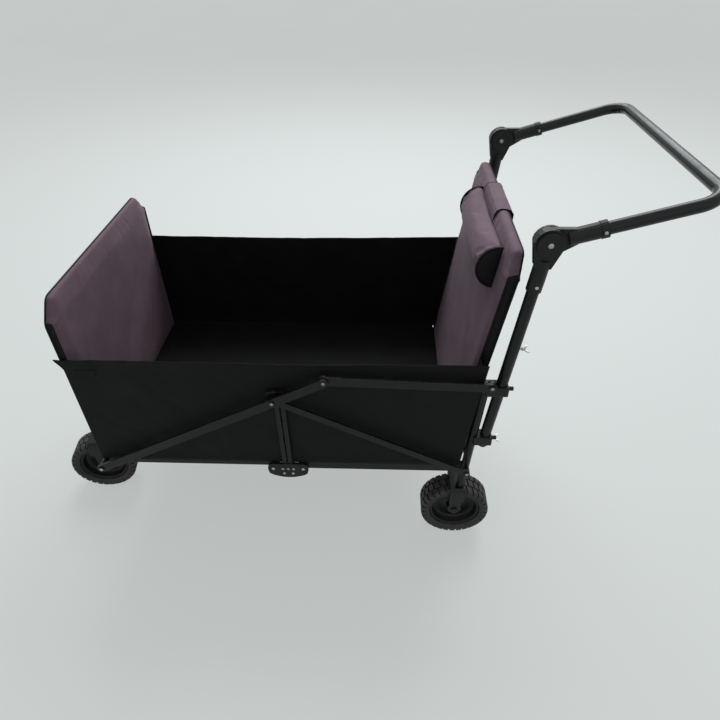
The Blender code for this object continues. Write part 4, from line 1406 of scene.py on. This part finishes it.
def seen_directly(tree, share):
    """The share of a plain tone in what the camera, a reflection or glass sees of a surface."""
    ray = step(tree, "LightPath").outputs
    seen = ray["Is Camera Ray"]
    for kind in ("Is Glossy Ray", "Is Transmission Ray"):
        seen = step(tree, "Math", {0: seen, 1: ray[kind]}, operation="MAXIMUM").outputs[0]
    return product(tree, seen, share)


pale_floor, tree, shader = blank("pale_floor")
patches = clouds(tree, step(tree, "TexCoord").outputs["Object"], 1.3, 6.0)
rough = uneven(tree, patches, *floor_rough)
tree.links.new(rough, shader.inputs["Roughness"])
shader.inputs["Base Color"].default_value = floor_grey
plain = step(tree, "Emission", {"Color": backdrop, "Strength": 1.0})
mixed = step(tree, "MixShader", {0: seen_directly(tree, backdrop_share), 1: shader.outputs[0]})
tree.links.new(plain.outputs[0], mixed.inputs[2])
tree.links.new(mixed.outputs[0], tree.nodes["Material Output"].inputs["Surface"])
form = bmesh.new()
corners = ((-1, -1), (1, -1), (1, 1), (-1, 1))
form.faces.new([form.verts.new((x * floor_reach, y * floor_reach, 0)) for x, y in corners])
studio_floor = kept(form, "studio_floor")
studio_floor.data.materials.append(pale_floor)

studio = bpy.data.worlds.new("studio")
bpy.context.scene.world = studio
studio.use_nodes = True
tree = studio.node_tree
lit = tree.nodes["Background"]
lit.inputs["Color"].default_value = sky_light
lit.inputs["Strength"].default_value = sky_level
seen = step(tree, "Background", {"Color": backdrop, "Strength": 1.0})
mixed = step(tree, "MixShader", {0: seen_directly(tree, 1.0)})
tree.links.new(lit.outputs[0], mixed.inputs[1])
tree.links.new(seen.outputs[0], mixed.inputs[2])
tree.links.new(mixed.outputs[0], tree.nodes["World Output"].inputs["Surface"])
for name, stand, width, depth, power, tint in lamps:
    light = bpy.data.lights.new(name, "AREA")
    light.shape = "RECTANGLE"
    light.size = width
    light.size_y = depth
    light.energy = power
    light.color = tint
    lamp = bpy.data.objects.new(name, light)
    bpy.context.scene.collection.objects.link(lamp)
    lamp.location = stand
    lamp.rotation_mode = "QUATERNION"
    lamp.rotation_quaternion = (lamps_aim - Vector(stand)).to_track_quat("-Z", "Y")

# Camera: at a standing eye's height beside the near wall of the tub, looking down on it. The
# angles and the focal length come from fitting the tub and the handle to the picture.
picture_width = 720
focal_pixels = 567.4
sensor_width = 36.0
eye = (0.151, -1.2486, 1.3775)
look_down = math.radians(38.89)
look_left = math.radians(2.85)
tilt = math.radians(1.035)
lens = bpy.data.cameras.new("camera")
lens.sensor_width = sensor_width
lens.lens = focal_pixels / picture_width * sensor_width
camera = bpy.data.objects.new("camera", lens)
bpy.context.scene.collection.objects.link(camera)
camera.location = eye
sight = Vector((-math.sin(look_left), math.cos(look_left), 0)) * math.cos(look_down)
sight.z = -math.sin(look_down)
level_right = Vector((math.cos(look_left), math.sin(look_left), 0))
level_up = level_right.cross(sight)
rolled_right = level_right * math.cos(tilt) - level_up * math.sin(tilt)
rolled_up = level_right * math.sin(tilt) + level_up * math.cos(tilt)
camera.rotation_mode = "QUATERNION"
axes = Matrix((rolled_right, rolled_up, -sight)).transposed()
camera.rotation_quaternion = axes.to_quaternion()
bpy.context.scene.camera = camera
bpy.context.scene.view_settings.view_transform = "Standard"
